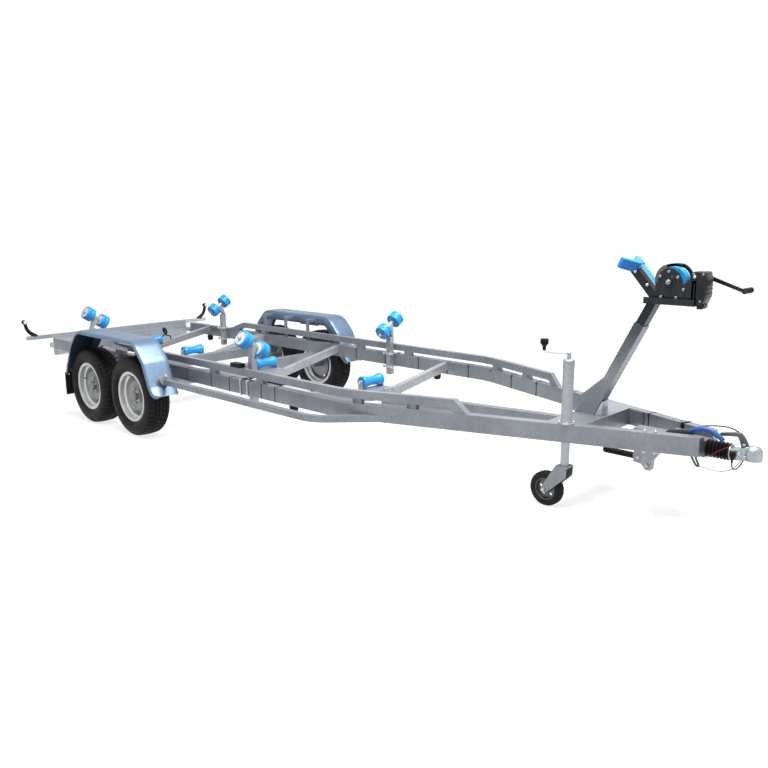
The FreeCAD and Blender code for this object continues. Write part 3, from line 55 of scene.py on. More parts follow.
cameraSet = {
    "place": Vector((4.42817, -3.997, 1.5472)),
    "right": Vector((0.72509, 0.68838, -0.02020)),
    "down": Vector((0.11828, -0.15337, -0.98108)),
    "forward": Vector((-0.67844, 0.70896, -0.19261)),
    "lens": 36.65,
}
bpy.ops.object.camera_add()
camera = bpy.context.object
camera.name = "photoCamera"
camera.data.lens = cameraSet["lens"]
camera.data.sensor_width = 36
turn = Matrix((cameraSet["right"], -cameraSet["down"], -cameraSet["forward"])).transposed()
camera.matrix_world = Matrix.Translation(cameraSet["place"]) @ turn.to_4x4()
bpy.context.scene.camera = camera
print("camera placed")


def newGroup(name, inputs, outputs):
    group = bpy.data.node_groups.new(name, "ShaderNodeTree")
    for label, value in inputs:
        socket = group.interface.new_socket(name=label, in_out="INPUT", socket_type="NodeSocketFloat")
        socket.default_value = value
    for label in outputs:
        group.interface.new_socket(name=label, in_out="OUTPUT", socket_type="NodeSocketFloat")
    return group, group.nodes.new("NodeGroupInput"), group.nodes.new("NodeGroupOutput")


def addNode(tree, kind, **values):
    node = tree.nodes.new(kind)
    for label, value in values.items():
        node.inputs[label.replace("_", " ")].default_value = value
    return node


def feed(tree, socket, value):
    if isinstance(value, bpy.types.NodeSocket):
        tree.links.new(value, socket)
    elif isinstance(value, tuple):
        socket.default_value = (*value, 1)
    elif value is not None:
        socket.default_value = value


def mathNode(tree, operation, *values):
    node = addNode(tree, "ShaderNodeMath")
    node.operation = operation
    for socket, value in zip(node.inputs, values):
        feed(tree, socket, value)
    return node.outputs[0]


def placeOutput(tree, label="Object"):
    return addNode(tree, "ShaderNodeTexCoord").outputs[label]


def objectNoise(tree, scale, detail, rough=0.5):
    noise = addNode(tree, "ShaderNodeTexNoise", Detail=detail, Roughness=rough)
    tree.links.new(placeOutput(tree), noise.inputs["Vector"])
    feed(tree, noise.inputs["Scale"], scale)
    return noise.outputs["Fac"]


def splitPlace(tree, label="Object"):
    split = addNode(tree, "ShaderNodeSeparateXYZ")
    tree.links.new(placeOutput(tree, label), split.inputs[0])
    return split.outputs


def spread(tree, value, low, high, toLow, toHigh):
    node = addNode(tree, "ShaderNodeMapRange", From_Min=low, From_Max=high, To_Min=toLow, To_Max=toHigh)
    tree.links.new(value, node.inputs["Value"])
    return node.outputs[0]


def zincGroup():
    group, enter, leave = newGroup("zincSpangle", [("Cell Scale", 70.0), ("Patch Scale", 2.6)],
                                   ("Spangle", "Patches", "Runs", "Height"))
    links = group.links
    wobble = addNode(group, "ShaderNodeTexNoise", Scale=45)
    links.new(placeOutput(group), wobble.inputs["Vector"])
    bend = group.nodes.new("ShaderNodeVectorMath")
    bend.operation = "MULTIPLY_ADD"
    bend.inputs[1].default_value = (0.02, 0.02, 0.02)
    links.new(wobble.outputs["Color"], bend.inputs[0])
    links.new(placeOutput(group), bend.inputs[2])
    cells = addNode(group, "ShaderNodeTexVoronoi")
    links.new(bend.outputs[0], cells.inputs["Vector"])
    links.new(enter.outputs["Cell Scale"], cells.inputs["Scale"])
    split = addNode(group, "ShaderNodeSeparateColor")
    links.new(cells.outputs["Color"], split.inputs[0])
    stretch = addNode(group, "ShaderNodeMapping", Scale=(22, 22, 2.2))
    links.new(placeOutput(group), stretch.inputs["Vector"])
    runs = addNode(group, "ShaderNodeTexNoise", Scale=1, Detail=3)
    links.new(stretch.outputs[0], runs.inputs["Vector"])
    links.new(split.outputs[0], leave.inputs["Spangle"])
    links.new(objectNoise(group, enter.outputs["Patch Scale"], 4, 0.6), leave.inputs["Patches"])
    links.new(runs.outputs["Fac"], leave.inputs["Runs"])
    links.new(mathNode(group, "MULTIPLY_ADD", runs.outputs["Fac"], 0.6, objectNoise(group, 260, 2)),
              leave.inputs["Height"])
    return group


def grimeGroup():
    group, enter, leave = newGroup("roadDust", [("Low", 0.0), ("High", 0.5), ("Scale", 9.0)], ("Dust",))
    level = addNode(group, "ShaderNodeMapRange", To_Min=1, To_Max=0)
    group.links.new(splitPlace(group)["Z"], level.inputs["Value"])
    group.links.new(enter.outputs["Low"], level.inputs["From Min"])
    group.links.new(enter.outputs["High"], level.inputs["From Max"])
    patch = objectNoise(group, enter.outputs["Scale"], 5, 0.65)
    group.links.new(mathNode(group, "MULTIPLY", level.outputs[0], patch), leave.inputs["Dust"])
    return group


def grainGroup():
    group, enter, leave = newGroup("mouldGrain", [("Grain Scale", 900.0), ("Blotch Scale", 14.0)],
                                   ("Grain", "Blotch"))
    group.links.new(objectNoise(group, enter.outputs["Grain Scale"], 2), leave.inputs["Grain"])
    group.links.new(objectNoise(group, enter.outputs["Blotch Scale"], 4, 0.6), leave.inputs["Blotch"])
    return group


zinc = zincGroup()
dust = grimeGroup()
grain = grainGroup()


def newMaterial(name, base, metallic, roughness):
    material = bpy.data.materials.new(name)
    material.use_nodes = True
    shader = material.node_tree.nodes["Principled BSDF"]
    for label, value in (("Base Color", (*base, 1)), ("Metallic", metallic), ("Roughness", roughness)):
        shader.inputs[label].default_value = value
    return material, material.node_tree, shader


def placeGroup(tree, group, **values):
    node = tree.nodes.new("ShaderNodeGroup")
    node.node_tree = group
    for label, value in values.items():
        node.inputs[label.replace("_", " ")].default_value = value
    return node.outputs


def mixColours(tree, factor, first, second):
    mix = tree.nodes.new("ShaderNodeMix")
    mix.data_type = "RGBA"
    feed(tree, mix.inputs["Factor"], factor)
    feed(tree, mix.inputs[6], first)
    feed(tree, mix.inputs[7], second)
    return mix.outputs[2]


def addBump(tree, shader, height, strength, distance):
    bump = addNode(tree, "ShaderNodeBump", Strength=strength, Distance=distance)
    tree.links.new(height, bump.inputs["Height"])
    tree.links.new(bump.outputs[0], shader.inputs["Normal"])


def addDust(tree, shader, colour, amount, tone, **values):
    soil = mathNode(tree, "MULTIPLY", placeGroup(tree, dust, **values)["Dust"], amount)
    tree.links.new(mixColours(tree, soil, colour, tone), shader.inputs["Base Color"])


def zincMaterial(name, bright, mid, dark, metallic, smooth, rough, cellScale, bumpStrength):
    material, tree, shader = newMaterial(name, mid, metallic, smooth)
    coat = placeGroup(tree, zinc, Cell_Scale=cellScale)
    cells = mixColours(tree, spread(tree, coat["Spangle"], 0, 1, 0, 1), mid, bright)
    patched = mixColours(tree, spread(tree, coat["Patches"], 0.36, 0.66, 0, 0.75), cells, dark)
    runs = mixColours(tree, spread(tree, coat["Runs"], 0.5, 0.78, 0, 0.5), patched, bright)
    addDust(tree, shader, runs, 0.35, (0.20, 0.19, 0.17), Low=0.1, High=0.55)
    tree.links.new(spread(tree, coat["Patches"], 0.3, 0.7, smooth, rough), shader.inputs["Roughness"])
    shader.inputs["Specular IOR Level"].default_value = 0.25 if max(mid) < 0.05 else 0.5
    addBump(tree, shader, coat["Height"], bumpStrength, 0.0012)
    return material


def mouldedMaterial(name, base, dark, roughness, grainScale, bumpStrength, soilAmount):
    material, tree, shader = newMaterial(name, base, 0, roughness)
    skin = placeGroup(tree, grain, Grain_Scale=grainScale)
    blotch = mixColours(tree, spread(tree, skin["Blotch"], 0.35, 0.7, 0, 1), base, dark)
    addDust(tree, shader, blotch, soilAmount, (0.30, 0.28, 0.25), Low=0.0, High=0.9, Scale=6)
    tree.links.new(spread(tree, skin["Blotch"], 0.3, 0.7, roughness - 0.08, roughness + 0.1),
                   shader.inputs["Roughness"])
    shader.inputs["Specular IOR Level"].default_value = 0.15 if max(base) < 0.02 else 0.5
    addBump(tree, shader, skin["Grain"], bumpStrength, 0.0006)
    return material


# Name, bright, middle and dark tone, metallic, smoothest, roughest, cell scale, bump
zincLooks = {
    "frame": ("galvanisedFrame", (0.292, 0.312, 0.342), (0.236, 0.256, 0.286), (0.18, 0.195, 0.22),
              0.5, 0.30, 0.46, 75, 0.14),
    "crossing": ("galvanisedCrossing", (0.46, 0.48, 0.505), (0.35, 0.37, 0.395), (0.27, 0.285, 0.305),
                 0.5, 0.30, 0.46, 75, 0.14),
    # The brace's lighter zinc is a painted highlight of its lit faces
    "brace": ("paintedHighlightBrace", (0.62, 0.66, 0.70), (0.54, 0.58, 0.62), (0.42, 0.46, 0.50),
              0.5, 0.28, 0.42, 75, 0.10),
    "winchBolt": ("dullWinchBolt", (0.36, 0.37, 0.39), (0.27, 0.28, 0.30), (0.18, 0.19, 0.20),
                  0.75, 0.3, 0.45, 300, 0.08),
    "tube": ("galvanisedTube", (0.46, 0.48, 0.51), (0.37, 0.39, 0.42), (0.29, 0.31, 0.34), 0.6, 0.28, 0.42, 75, 0.12),
    "fender": ("galvanisedSheet", (0.185, 0.265, 0.385), (0.15, 0.225, 0.33), (0.11, 0.17, 0.26),
               0.75, 0.36, 0.46, 50, 0.03),
    "board": ("corrugatedSheet", (0.50, 0.54, 0.58), (0.43, 0.47, 0.51), (0.34, 0.37, 0.41),
              0.6, 0.3, 0.42, 50, 0.06),
    "plate": ("galvanisedPlate", (0.40, 0.42, 0.45), (0.31, 0.33, 0.36), (0.23, 0.245, 0.27),
              0.6, 0.34, 0.55, 110, 0.14),
    "fixing": ("zincPlatedFixing", (0.74, 0.75, 0.77), (0.62, 0.63, 0.65), (0.45, 0.46, 0.48),
               0.7, 0.24, 0.4, 300, 0.08),
    # The wheel disc's darker grey is painted shade of the rim's recess
    "disc": ("shadedWheelDisc", (0.33, 0.34, 0.35), (0.26, 0.265, 0.27), (0.18, 0.185, 0.19), 0.6, 0.34, 0.5, 400, 0.06),
    "rim": ("silverPaintedRim", (0.80, 0.81, 0.82), (0.71, 0.72, 0.73), (0.55, 0.56, 0.57),
            0.6, 0.32, 0.46, 400, 0.06),
    "cast": ("castCoupling", (0.60, 0.65, 0.67), (0.44, 0.49, 0.52), (0.26, 0.30, 0.33), 0.75, 0.22, 0.40, 260, 0.10),
    "handle": ("pressedSteel", (0.13, 0.14, 0.15), (0.09, 0.097, 0.105), (0.055, 0.06, 0.065),
               0.7, 0.34, 0.5, 160, 0.12),
    "wire": ("wireRope", (0.34, 0.345, 0.35), (0.25, 0.255, 0.26), (0.15, 0.153, 0.156), 0.6, 0.35, 0.55, 900, 0.5),
    "bronze": ("guardSteel", (0.17, 0.16, 0.145), (0.11, 0.105, 0.095), (0.06, 0.058, 0.054),
               0.7, 0.28, 0.42, 120, 0.12),
    "dark": ("darkWinchSteel", (0.034, 0.040, 0.048), (0.018, 0.021, 0.026), (0.010, 0.011, 0.014),
             0.35, 0.20, 0.38, 120, 0.10),
}

# Name, base and dark tone, roughness, grain scale, bump, dust
mouldLooks = {
    "tyre": ("tyreRubber", (0.011, 0.0105, 0.0115), (0.007, 0.0068, 0.0073), 0.55, 700, 0.3, 0.05),
    "rubber": ("blackRubber", (0.010, 0.010, 0.011), (0.006, 0.006, 0.007), 0.42, 900, 0.2, 0.04),
    "roller": ("blueRollerMoulding", (0.007, 0.30, 0.74), (0.006, 0.275, 0.69), 0.30, 500, 0.04, 0.06),
    "pad": ("blueBowStop", (0.006, 0.25, 0.80), (0.005, 0.235, 0.76), 0.34, 500, 0.03, 0.05),
    "strap": ("blueWebbing", (0.016, 0.34, 0.74), (0.013, 0.30, 0.66), 0.6, 1100, 0.2, 0.06),
    "grip": ("blueGrip", (0.006, 0.11, 0.42), (0.004, 0.08, 0.33), 0.36, 900, 0.2, 0.04),
    "hub": ("whiteHubPlastic", (0.66, 0.66, 0.65), (0.55, 0.55, 0.54), 0.42, 600, 0.12, 0.2),
    "redLens": ("redLens", (0.45, 0.015, 0.012), (0.35, 0.01, 0.01), 0.16, 300, 0.05, 0.05),
    "amberLens": ("amberLens", (0.75, 0.22, 0.02), (0.6, 0.16, 0.015), 0.16, 300, 0.05, 0.05),
    "clearLens": ("whiteLens", (0.75, 0.75, 0.74), (0.65, 0.65, 0.64), 0.14, 300, 0.05, 0.05),
    "tie": ("clothTape", (0.012, 0.012, 0.013), (0.008, 0.008, 0.009), 0.8, 1500, 0.5, 0.05),
    "redCord": ("redCordCover", (0.24, 0.010, 0.008), (0.17, 0.008, 0.006), 0.5, 900, 0.3, 0.05),
}
steel = {label: zincMaterial(*look) for label, look in zincLooks.items()}
plastic = {label: mouldedMaterial(*look) for label, look in mouldLooks.items()}
# Painted shade on the post: the heights where it starts and ends, its depth and its dark tone
postPaintedShade = {"low": 0.74, "high": 0.98, "depth": 0.9, "tone": (0.045, 0.055, 0.07)}


# Painted shade: the post's flanks darken towards the winch
def postWithPaintedShade():
    material = steel["frame"].copy()
    material.name = "paintedShadePost"
    tree = material.node_tree
    shader = next(node for node in tree.nodes if node.type == "BSDF_PRINCIPLED")
    was = shader.inputs["Base Color"].links[0].from_socket
    rise = spread(tree, splitPlace(tree)["Z"], postPaintedShade["low"], postPaintedShade["high"], 0, postPaintedShade["depth"])
    flank = spread(tree, mathNode(tree, "ABSOLUTE", splitPlace(tree, "Normal")["Y"]), 0.5, 0.9, 0, 1)
    shadedColour = mixColours(tree, mathNode(tree, "MULTIPLY", rise, flank), was, postPaintedShade["tone"])
    tree.links.new(shadedColour, shader.inputs["Base Color"])
    return material


steel["post"] = postWithPaintedShade()
print("materials made:", len(steel) + len(plastic))


# Outlines and routes are written in millimetres
def mm(*spots):
    return [tuple(value / 1000 for value in spot) for spot in spots]


def mirror(profile):
    return [(-along, radius) for along, radius in reversed(profile)]


def rectangle(first, second, low, high):
    return [(first, low), (second, low), (second, high), (first, high)]


# Pairs of ahead, height become points at one distance aside
def alongside(aside, outline):
    return [(ahead, aside, height) for ahead, height in outline]


# Pairs of aside, height become points at one distance ahead
def athwart(ahead, outline):
    return [(ahead, aside, height) for aside, height in outline]


def clearPick():
    if bpy.context.object and bpy.context.object.mode != "OBJECT":
        bpy.ops.object.mode_set(mode="OBJECT")
    bpy.ops.object.select_all(action="DESELECT")


def pickOnly(piece):
    clearPick()
    piece.select_set(True)
    bpy.context.view_layer.objects.active = piece


def startOutline(name, points):
    clearPick()
    bpy.ops.mesh.primitive_plane_add(size=0.01, location=points[0])
    piece = bpy.context.object
    piece.name = name
    bpy.ops.object.mode_set(mode="EDIT")
    bpy.ops.mesh.select_all(action="SELECT")
    bpy.ops.mesh.merge(type="CENTER")
    for before, after in zip(points, points[1:]):
        step = Vector(after) - Vector(before)
        bpy.ops.mesh.extrude_region_move(TRANSFORM_OT_translate={"value": step})
    bpy.ops.mesh.select_all(action="SELECT")
    return piece


def applyPlace(piece):
    pickOnly(piece)
    bpy.ops.object.transform_apply(location=True, rotation=True, scale=True)


def closeShape(piece):
    bpy.ops.mesh.select_all(action="SELECT")
    bpy.ops.mesh.normals_make_consistent(inside=False)
    bpy.ops.object.mode_set(mode="OBJECT")
    applyPlace(piece)


# Spins pairs of along, radius about one axis; tilt turns the y axis upwards
def spunPiece(name, outline, centre, steps=48, tilt=0.0, about="y", smooth=35):
    axis, out = {"x": ((1, 0, 0), (0, 0, 1)), "z": ((0, 0, 1), (1, 0, 0)),
                 "y": ((0, math.cos(tilt), math.sin(tilt)), (0, -math.sin(tilt), math.cos(tilt)))}[about]
    centre = Vector(centre)
    piece = startOutline(name, [centre + Vector(axis) * along + Vector(out) * radius for along, radius in outline])
    bpy.ops.mesh.spin(steps=steps, angle=math.tau, center=centre, axis=axis)
    bpy.ops.mesh.select_all(action="SELECT")
    bpy.ops.mesh.remove_doubles(threshold=0.00001)
    closeShape(piece)
    bpy.ops.object.shade_smooth_by_angle(angle=math.radians(smooth))
    return piece


def uprightSpun(name, outline, centre, steps=48):
    return spunPiece(name, outline, centre, steps, about="z")


def platePiece(name, outline, thickness, edge=0.0015, segments=2):
    piece = startOutline(name, outline)
    bpy.ops.mesh.edge_face_add()
    bpy.ops.mesh.select_all(action="SELECT")
    bpy.ops.mesh.extrude_region_move(TRANSFORM_OT_translate={"value": Vector(thickness)})
    closeShape(piece)
    easeEdges(piece, edge, segments)
    return piece


def flatPlate(name, aside, outline, thick, edge=0.0015, segments=2):
    return platePiece(name, alongside(aside, outline), (0, thick, 0), edge, segments)


def crossPlate(name, ahead, outline, thick, edge=0.0015, segments=2):
    return platePiece(name, athwart(ahead, outline), (thick, 0, 0), edge, segments)


def easeEdges(piece, width, segments=2, angle=30):
    pickOnly(piece)
    bevel = piece.modifiers.new("edges", "BEVEL")
    bevel.width = width
    bevel.segments = segments
    bevel.limit_method = "ANGLE"
    bevel.angle_limit = math.radians(angle)
    bpy.ops.object.modifier_apply(modifier=bevel.name)
    bpy.ops.object.shade_smooth_by_angle(angle=math.radians(35))


def cutAway(piece, cutter):
    pickOnly(piece)
    knife = piece.modifiers.new("cut", "BOOLEAN")
    knife.operation = "DIFFERENCE"
    knife.solver = "EXACT"
    knife.object = cutter
    bpy.ops.object.modifier_apply(modifier=knife.name)
    bpy.data.objects.remove(cutter)


def drill(piece, spot, radius, depth, sides, ease=0):
    clearPick()
    bpy.ops.mesh.primitive_cylinder_add(vertices=sides, radius=radius, depth=depth, location=spot,
                                        rotation=(math.pi / 2, 0, 0))
    if ease:
        bpy.ops.object.mode_set(mode="EDIT")
        bpy.ops.mesh.bevel(offset=ease, segments=1)
        bpy.ops.object.mode_set(mode="OBJECT")
    cutAway(piece, bpy.context.object)


def thicken(piece, thickness, offset=-1):
    pickOnly(piece)
    wall = piece.modifiers.new("wall", "SOLIDIFY")
    wall.thickness = thickness
    wall.offset = offset
    bpy.ops.object.modifier_apply(modifier=wall.name)


def joinPieces(pieces, name):
    clearPick()
    for piece in pieces:
        piece.select_set(True)
    bpy.context.view_layer.objects.active = pieces[0]
    bpy.ops.object.join()
    joined = bpy.context.object
    joined.name = name
    return joined


def copyPiece(piece, name, place):
    twin = piece.copy()
    twin.data = piece.data.copy()
    twin.name = name
    bpy.context.collection.objects.link(twin)
    twin.data.transform(place)
    if place.determinant() < 0:
        twin.data.flip_normals()
    return twin


def paint(piece, *materials, choose=None):
    piece.data.materials.clear()
    for material in materials:
        piece.data.materials.append(material)
    if choose:
        for face in piece.data.polygons:
            face.material_index = int(choose(face.center, face.normal))
    return piece


def mount(piece, body, slotName, *replaced, park=True):
    if park:
        piece.data.transform(parkPlace)
    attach(piece, body)
    if replaced:
        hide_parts(*replaced)
    return piece


def mountAll(pieces, name, slotName, *replaced, body="frame", park=True):
    return mount(joinPieces(pieces, name), body, slotName, *replaced, park=park)


def makeNut(across, height, studRadius, studHeight):
    clearPick()
    bpy.ops.mesh.primitive_cylinder_add(vertices=6, radius=across / math.sqrt(3), depth=height,
                                        location=(0, -height / 2, 0), rotation=(math.pi / 2, 0, 0))
    nut = bpy.context.object
    bpy.ops.object.transform_apply(location=True, rotation=True, scale=True)
    bpy.ops.object.mode_set(mode="EDIT")
    bpy.ops.mesh.select_all(action="DESELECT")
    bpy.ops.object.mode_set(mode="OBJECT")
    for face in nut.data.polygons:
        face.select = face.normal.y < -0.9
    bpy.ops.object.mode_set(mode="EDIT")
    bpy.ops.mesh.inset(thickness=across * 0.12)
    bpy.ops.transform.translate(value=(0, -height * 0.12, 0))
    bpy.ops.mesh.inset(thickness=across * 0.16)
    bpy.ops.mesh.extrude_region_move(TRANSFORM_OT_translate={"value": (0, -studHeight, 0)})
    bpy.ops.mesh.inset(thickness=studRadius * 0.2)
    bpy.ops.transform.translate(value=(0, -studRadius * 0.2, 0))
    bpy.ops.object.mode_set(mode="OBJECT")
    bpy.ops.object.shade_smooth_by_angle(angle=math.radians(30))
    return nut


def park(spot):
    return parkPlace @ Vector(spot)


def roundRoute(points, radius, steps=5):
    route = [Vector(points[0])]
    for before, corner, after in zip(points, points[1:], points[2:]):
        corner = Vector(corner)
        back = (Vector(before) - corner).normalized()
        onward = (Vector(after) - corner).normalized()
        half = (math.pi - back.angle(onward)) / 2
        reach = min(radius * math.tan(half), (Vector(before) - corner).length * 0.48,
                    (Vector(after) - corner).length * 0.48)
        start = corner + back * reach
        end = corner + onward * reach
        for index in range(steps + 1):
            share = index / steps
            route.append(start.lerp(corner, share).lerp(corner.lerp(end, share), share))
    route.append(Vector(points[-1]))
    return route


def drawLine(name, points, radius, kind, sides, resolution, widths=None):
    line = bpy.data.curves.new(name, "CURVE")
    line.dimensions = "3D"
    spline = line.splines.new(kind)
    spline.points.add(len(points) - 1)
    for index, spot in enumerate(points):
        spline.points[index].co = (*spot, 1)
        spline.points[index].radius = widths[index] if widths else 1
    if kind == "NURBS":
        spline.order_u = 3
        spline.use_endpoint_u = True
        line.resolution_u = resolution
    line.bevel_depth = radius
    line.bevel_resolution = sides
    line.use_fill_caps = True
    return line


def bentRod(name, points, radius, kind="POLY", widths=None, sides=3):
    rod = bpy.data.objects.new(name, drawLine(name, points, radius, kind, sides, 8, widths))
    bpy.context.collection.objects.link(rod)
    pickOnly(rod)
    bpy.ops.object.convert(target="MESH")
    bpy.ops.object.shade_smooth_by_angle(angle=math.radians(50))
    return bpy.context.object


def bolt(name, spot, facing, across=0.019, material=None):
    piece = makeNut(across, across * 0.62, across * 0.3, across * 0.32)
    turn = Vector((0, -1, 0)).rotation_difference(Vector(facing)).to_matrix().to_4x4()
    piece.data.transform(Matrix.Translation(spot) @ turn)
    piece.name = name
    return paint(piece, material or steel["fixing"])


def boltPair(name, ahead, aside, height, across, material=None):
    return [bolt(name, (ahead, way * aside, height), (0, way, 0), across, material) for way in (1, -1)]


# Route points from the construction, level frame
cordSet = {
    "electric": {
        "points": mm((4259, 30, 546), (4285, 30, 546), (4319, 30, 572), (4363, 27, 596), (4424, 24, 608),
                     (4486, 24, 614), (4533, 30, 601), (4566, 42, 572), (4580, 53, 530), (4578, 60, 486),
                     (4568, 60, 445), (4556, 42, 412), (4547, 8, 400), (4545, -27, 413), (4545, -43.3, 442),
                     (4545, -43.3, 468)),
        "diameter": 0.007, "length": 0.634},
    "safety": {
        "points": mm((4600, -38, 484), (4600, -60, 484), (4594, -78, 470), (4580, -86, 446), (4556, -86, 423),
                     (4515, -80, 405), (4468, -78, 399), (4424, -87, 409), (4392, -87, 409)),
        "diameter": 0.005, "length": 0.275},
    "breakaway": {
        "points": mm((4405, -42, 450), (4424, -42, 450), (4448, -56, 474), (4478, -60, 500), (4512, -57, 522),
                     (4538, -56, 538), (4560, -50, 549), (4578, -36, 556), (4578, -14, 556)),
        "diameter": 0.0035, "length": 0.235},
}


def layCord(label, node, material, slotName):
    values = cordSet[label]
    route = [park(spot) for spot in values["points"]]
    line = drawLine(node, route, values["diameter"] / 2, "NURBS", 4, 12)
    line.materials.append(material)
    piece = bpy.data.objects.new(f"{label}Cord", line)
    bpy.context.collection.objects.link(piece)
    mount(piece, "frame", slotName, node, park=False)


plug = uprightSpun("cablePlug", mm((468, 0), (468, 8.5), (469.5, 9.5), (477, 11.5), (478.5, 12.8), (483, 13),
                                   (483.5, 12.2), (486.5, 12.2), (487, 13), (490.5, 13), (491, 12.2), (494, 12.2),
                                   (494.5, 13), (506.5, 13), (508, 11.8), (508, 0)), (4.545, -0.0433, 0), 32)
mount(paint(plug, plastic["rubber"]), "frame", "black_rubber", "electric_plug")
outline = mm((0, 3.6), (0, 7.2), (4, 7.2), (6, 6.2), (30, 4.2), (30, 3.6), (0, 3.6))
gland = spunPiece("glandBoot", outline, cordSet["electric"]["points"][0], 24, about="x")
outline = mm((468, 3.6), (468, 6.8), (448, 4.4), (447, 3.6), (468, 3.6))
plugEnd = uprightSpun("plugBoot", outline, (4.545, -0.0433, 0), 24)
mount(paint(joinPieces([gland, plugEnd], "cordBoots"), plastic["rubber"]), "frame", "black_rubber")
layCord("electric", "electric_cable", plastic["rubber"], "black_rubber")
layCord("safety", "safety_cable", steel["wire"], "galvanised")
layCord("breakaway", "breakaway_cable", plastic["redCord"], "red_cord")
print("cords laid")


tyreSet = {
    "radius": 0.3145, "bead": 0.1783, "beadHalf": 0.0724, "steps": 240, "slotDepth": 0.005,
    "bands": ((0.049, 0.083, 0.296), (0.020, 0.040, 0.308), (-0.001, 0.011, 0.310)),
    "grooveDepth": 0.006, "grooveHalf": 0.0035, "grooves": (-0.044, -0.015, 0.015, 0.044),
}
rimSet = {"nuts": 5, "nutCircle": 0.056, "vents": 10, "ventCircle": 0.131, "ventRadius": 0.011}


def makeTyre():
    radius = tyreSet["radius"]
    bead, beadHalf = tyreSet["bead"], tyreSet["beadHalf"]
    wide = tyreSet["grooveHalf"]
    crown = []
    for middle in tyreSet["grooves"]:
        top = radius - 0.0010 - middle * middle * 0.9
        floor = top - tyreSet["grooveDepth"]
        crown += [(middle - wide - 0.001, top), (middle - wide + 0.001, floor), (middle + wide - 0.001, floor),
                  (middle + wide + 0.001, top)]
    crown.insert(8, (0, radius))
    side = [(-beadHalf, bead), (-beadHalf - 0.001, 0.196)]
    side += mm((-79, 200), (-83.5, 206), (-84.5, 208.5), (-86, 209.5), (-88, 212.5), (-92.5, 222), (-96, 234),
               (-97.5, 246), (-97.2, 256), (-96.2, 258.5), (-95.5, 264), (-94, 272.5), (-94.5, 275), (-92.5, 279.5),
               (-89, 286.5), (-84, 295.5), (-77.5, 303.5), (-70, 308.5), (-60, 311))
    piece = spunPiece("tyreMaster", side + crown + mirror(side), (0, 0, 0), steps=tyreSet["steps"], smooth=28)
    bpy.ops.object.mode_set(mode="EDIT")
    bpy.ops.mesh.select_all(action="DESELECT")
    bpy.ops.object.mode_set(mode="OBJECT")
    pitch = math.tau / tyreSet["steps"]
    for face in piece.data.polygons:
        spot = face.center
        height = math.hypot(spot.x, spot.z)
        column = int((math.atan2(spot.z, spot.x) % math.tau) / pitch)
        across = abs(spot.y)
        shoulder, rib, core = (low < across < high and height > floor for low, high, floor in tyreSet["bands"])
        shift = 1 if spot.y > 0 else 3
        ribColumn = (column + 2) % 5
        face.select = shoulder and column % 5 == shift or rib and ribColumn == shift or core and column % 10 == 4
    bpy.ops.object.mode_set(mode="EDIT")
    bpy.ops.mesh.extrude_region_shrink_fatten(TRANSFORM_OT_shrink_fatten={"value": -tyreSet["slotDepth"]})
    bpy.ops.object.mode_set(mode="OBJECT")
    bpy.ops.object.shade_smooth_by_angle(angle=math.radians(28))
    return paint(piece, plastic["tyre"])


def makeRim():
    profile = mm((-78, 196), (-77.5, 197.5), (-76, 197.5), (-73, 194.5), (-72.8, 180), (-70, 177.8), (-43, 177.5),
                 (-40, 172), (-34, 162.5), (27, 162.5), (32, 171), (36, 177.5), (70, 177.8), (72.8, 180), (73, 194.5),
                 (76, 197.5), (77.5, 197.5), (78, 196), (77.2, 190), (76.5, 178), (74, 174.8), (40, 174), (36, 167),
                 (31, 159), (19, 158), (16, 154), (20, 142), (33, 126), (37, 110), (36, 99), (31, 90), (30.5, 48),
                 (33, 44), (33, 33.5), (56, 32), (57.5, 29), (58, 18), (58, 0))
    back = mm((30, 0), (25, 44), (24.5, 90), (30, 110), (26, 125), (12, 142), (8, 157.5), (-35, 158), (-41, 166),
              (-45, 174), (-74, 174.8), (-76.5, 178), (-77.2, 190), (-78, 196))
    rim = spunPiece("rimMaster", profile + back, (0, 0, 0), steps=80, smooth=32)
    for index in range(rimSet["vents"]):
        angle = math.tau * index / rimSet["vents"]
        spot = Vector((math.cos(angle), 0, math.sin(angle))) * rimSet["ventCircle"]
        drill(rim, spot, rimSet["ventRadius"], 0.12, 24, 0.001)
    easeEdges(rim, 0.0006, 1, 50)
    # The disc inside the rim's outer lip is painted darker grey, painted shade of its recess
    paint(rim, steel["rim"], steel["disc"], choose=lambda spot, normal: math.hypot(spot.x, spot.z) < 0.156)
    parts = [rim]
    nut = paint(makeNut(0.019, 0.014, 0.006, 0.009), steel["fixing"])
    for index in range(rimSet["nuts"]):
        angle = math.tau * (index + 0.25) / rimSet["nuts"]
        spot = Vector((math.cos(angle), 0, math.sin(angle))) * rimSet["nutCircle"] + Vector((0, 0.030, 0))
        place = Matrix.Translation(spot) @ Matrix.Rotation(math.pi, 4, "Z")
        parts.append(copyPiece(nut, "nutCopy", place))
    bpy.data.objects.remove(nut)
    valve = spunPiece("valve", mm((0, 0), (0, 4.2), (22, 4), (24, 4.8), (34, 4.8), (36, 3), (36, 0)),
                      (0, 0.012, 0.152), steps=12, tilt=0.5)
    return joinPieces(parts + [paint(valve, plastic["rubber"])], "rimMaster")


def makeWheels():
    tyre = makeTyre()
    rim = makeRim()
    for end in ("front", "rear"):
        for name, side in (("left", 1), ("right", -1)):
            low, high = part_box(f"tyre_{end}_{name}")
            spin = Matrix.Rotation(0.4 if end == "front" else 1.3, 4, "Y")
            flip = Matrix.Rotation(0 if side > 0 else math.pi, 4, "Z")
            place = Matrix.Translation((low + high) / 2) @ flip @ spin
            for master, kind, slotName in ((tyre, "tyre", "tyre_rubber"), (rim, "rim", "wheel_silver")):
                piece = copyPiece(master, f"road{kind.title()}_{end}_{name}", place)
                mount(piece, f"wheel_{end}_{name}", slotName, f"{kind}_{end}_{name}", park=False)
    bpy.data.objects.remove(tyre)
    bpy.data.objects.remove(rim)
    print("wheels made")


makeWheels()


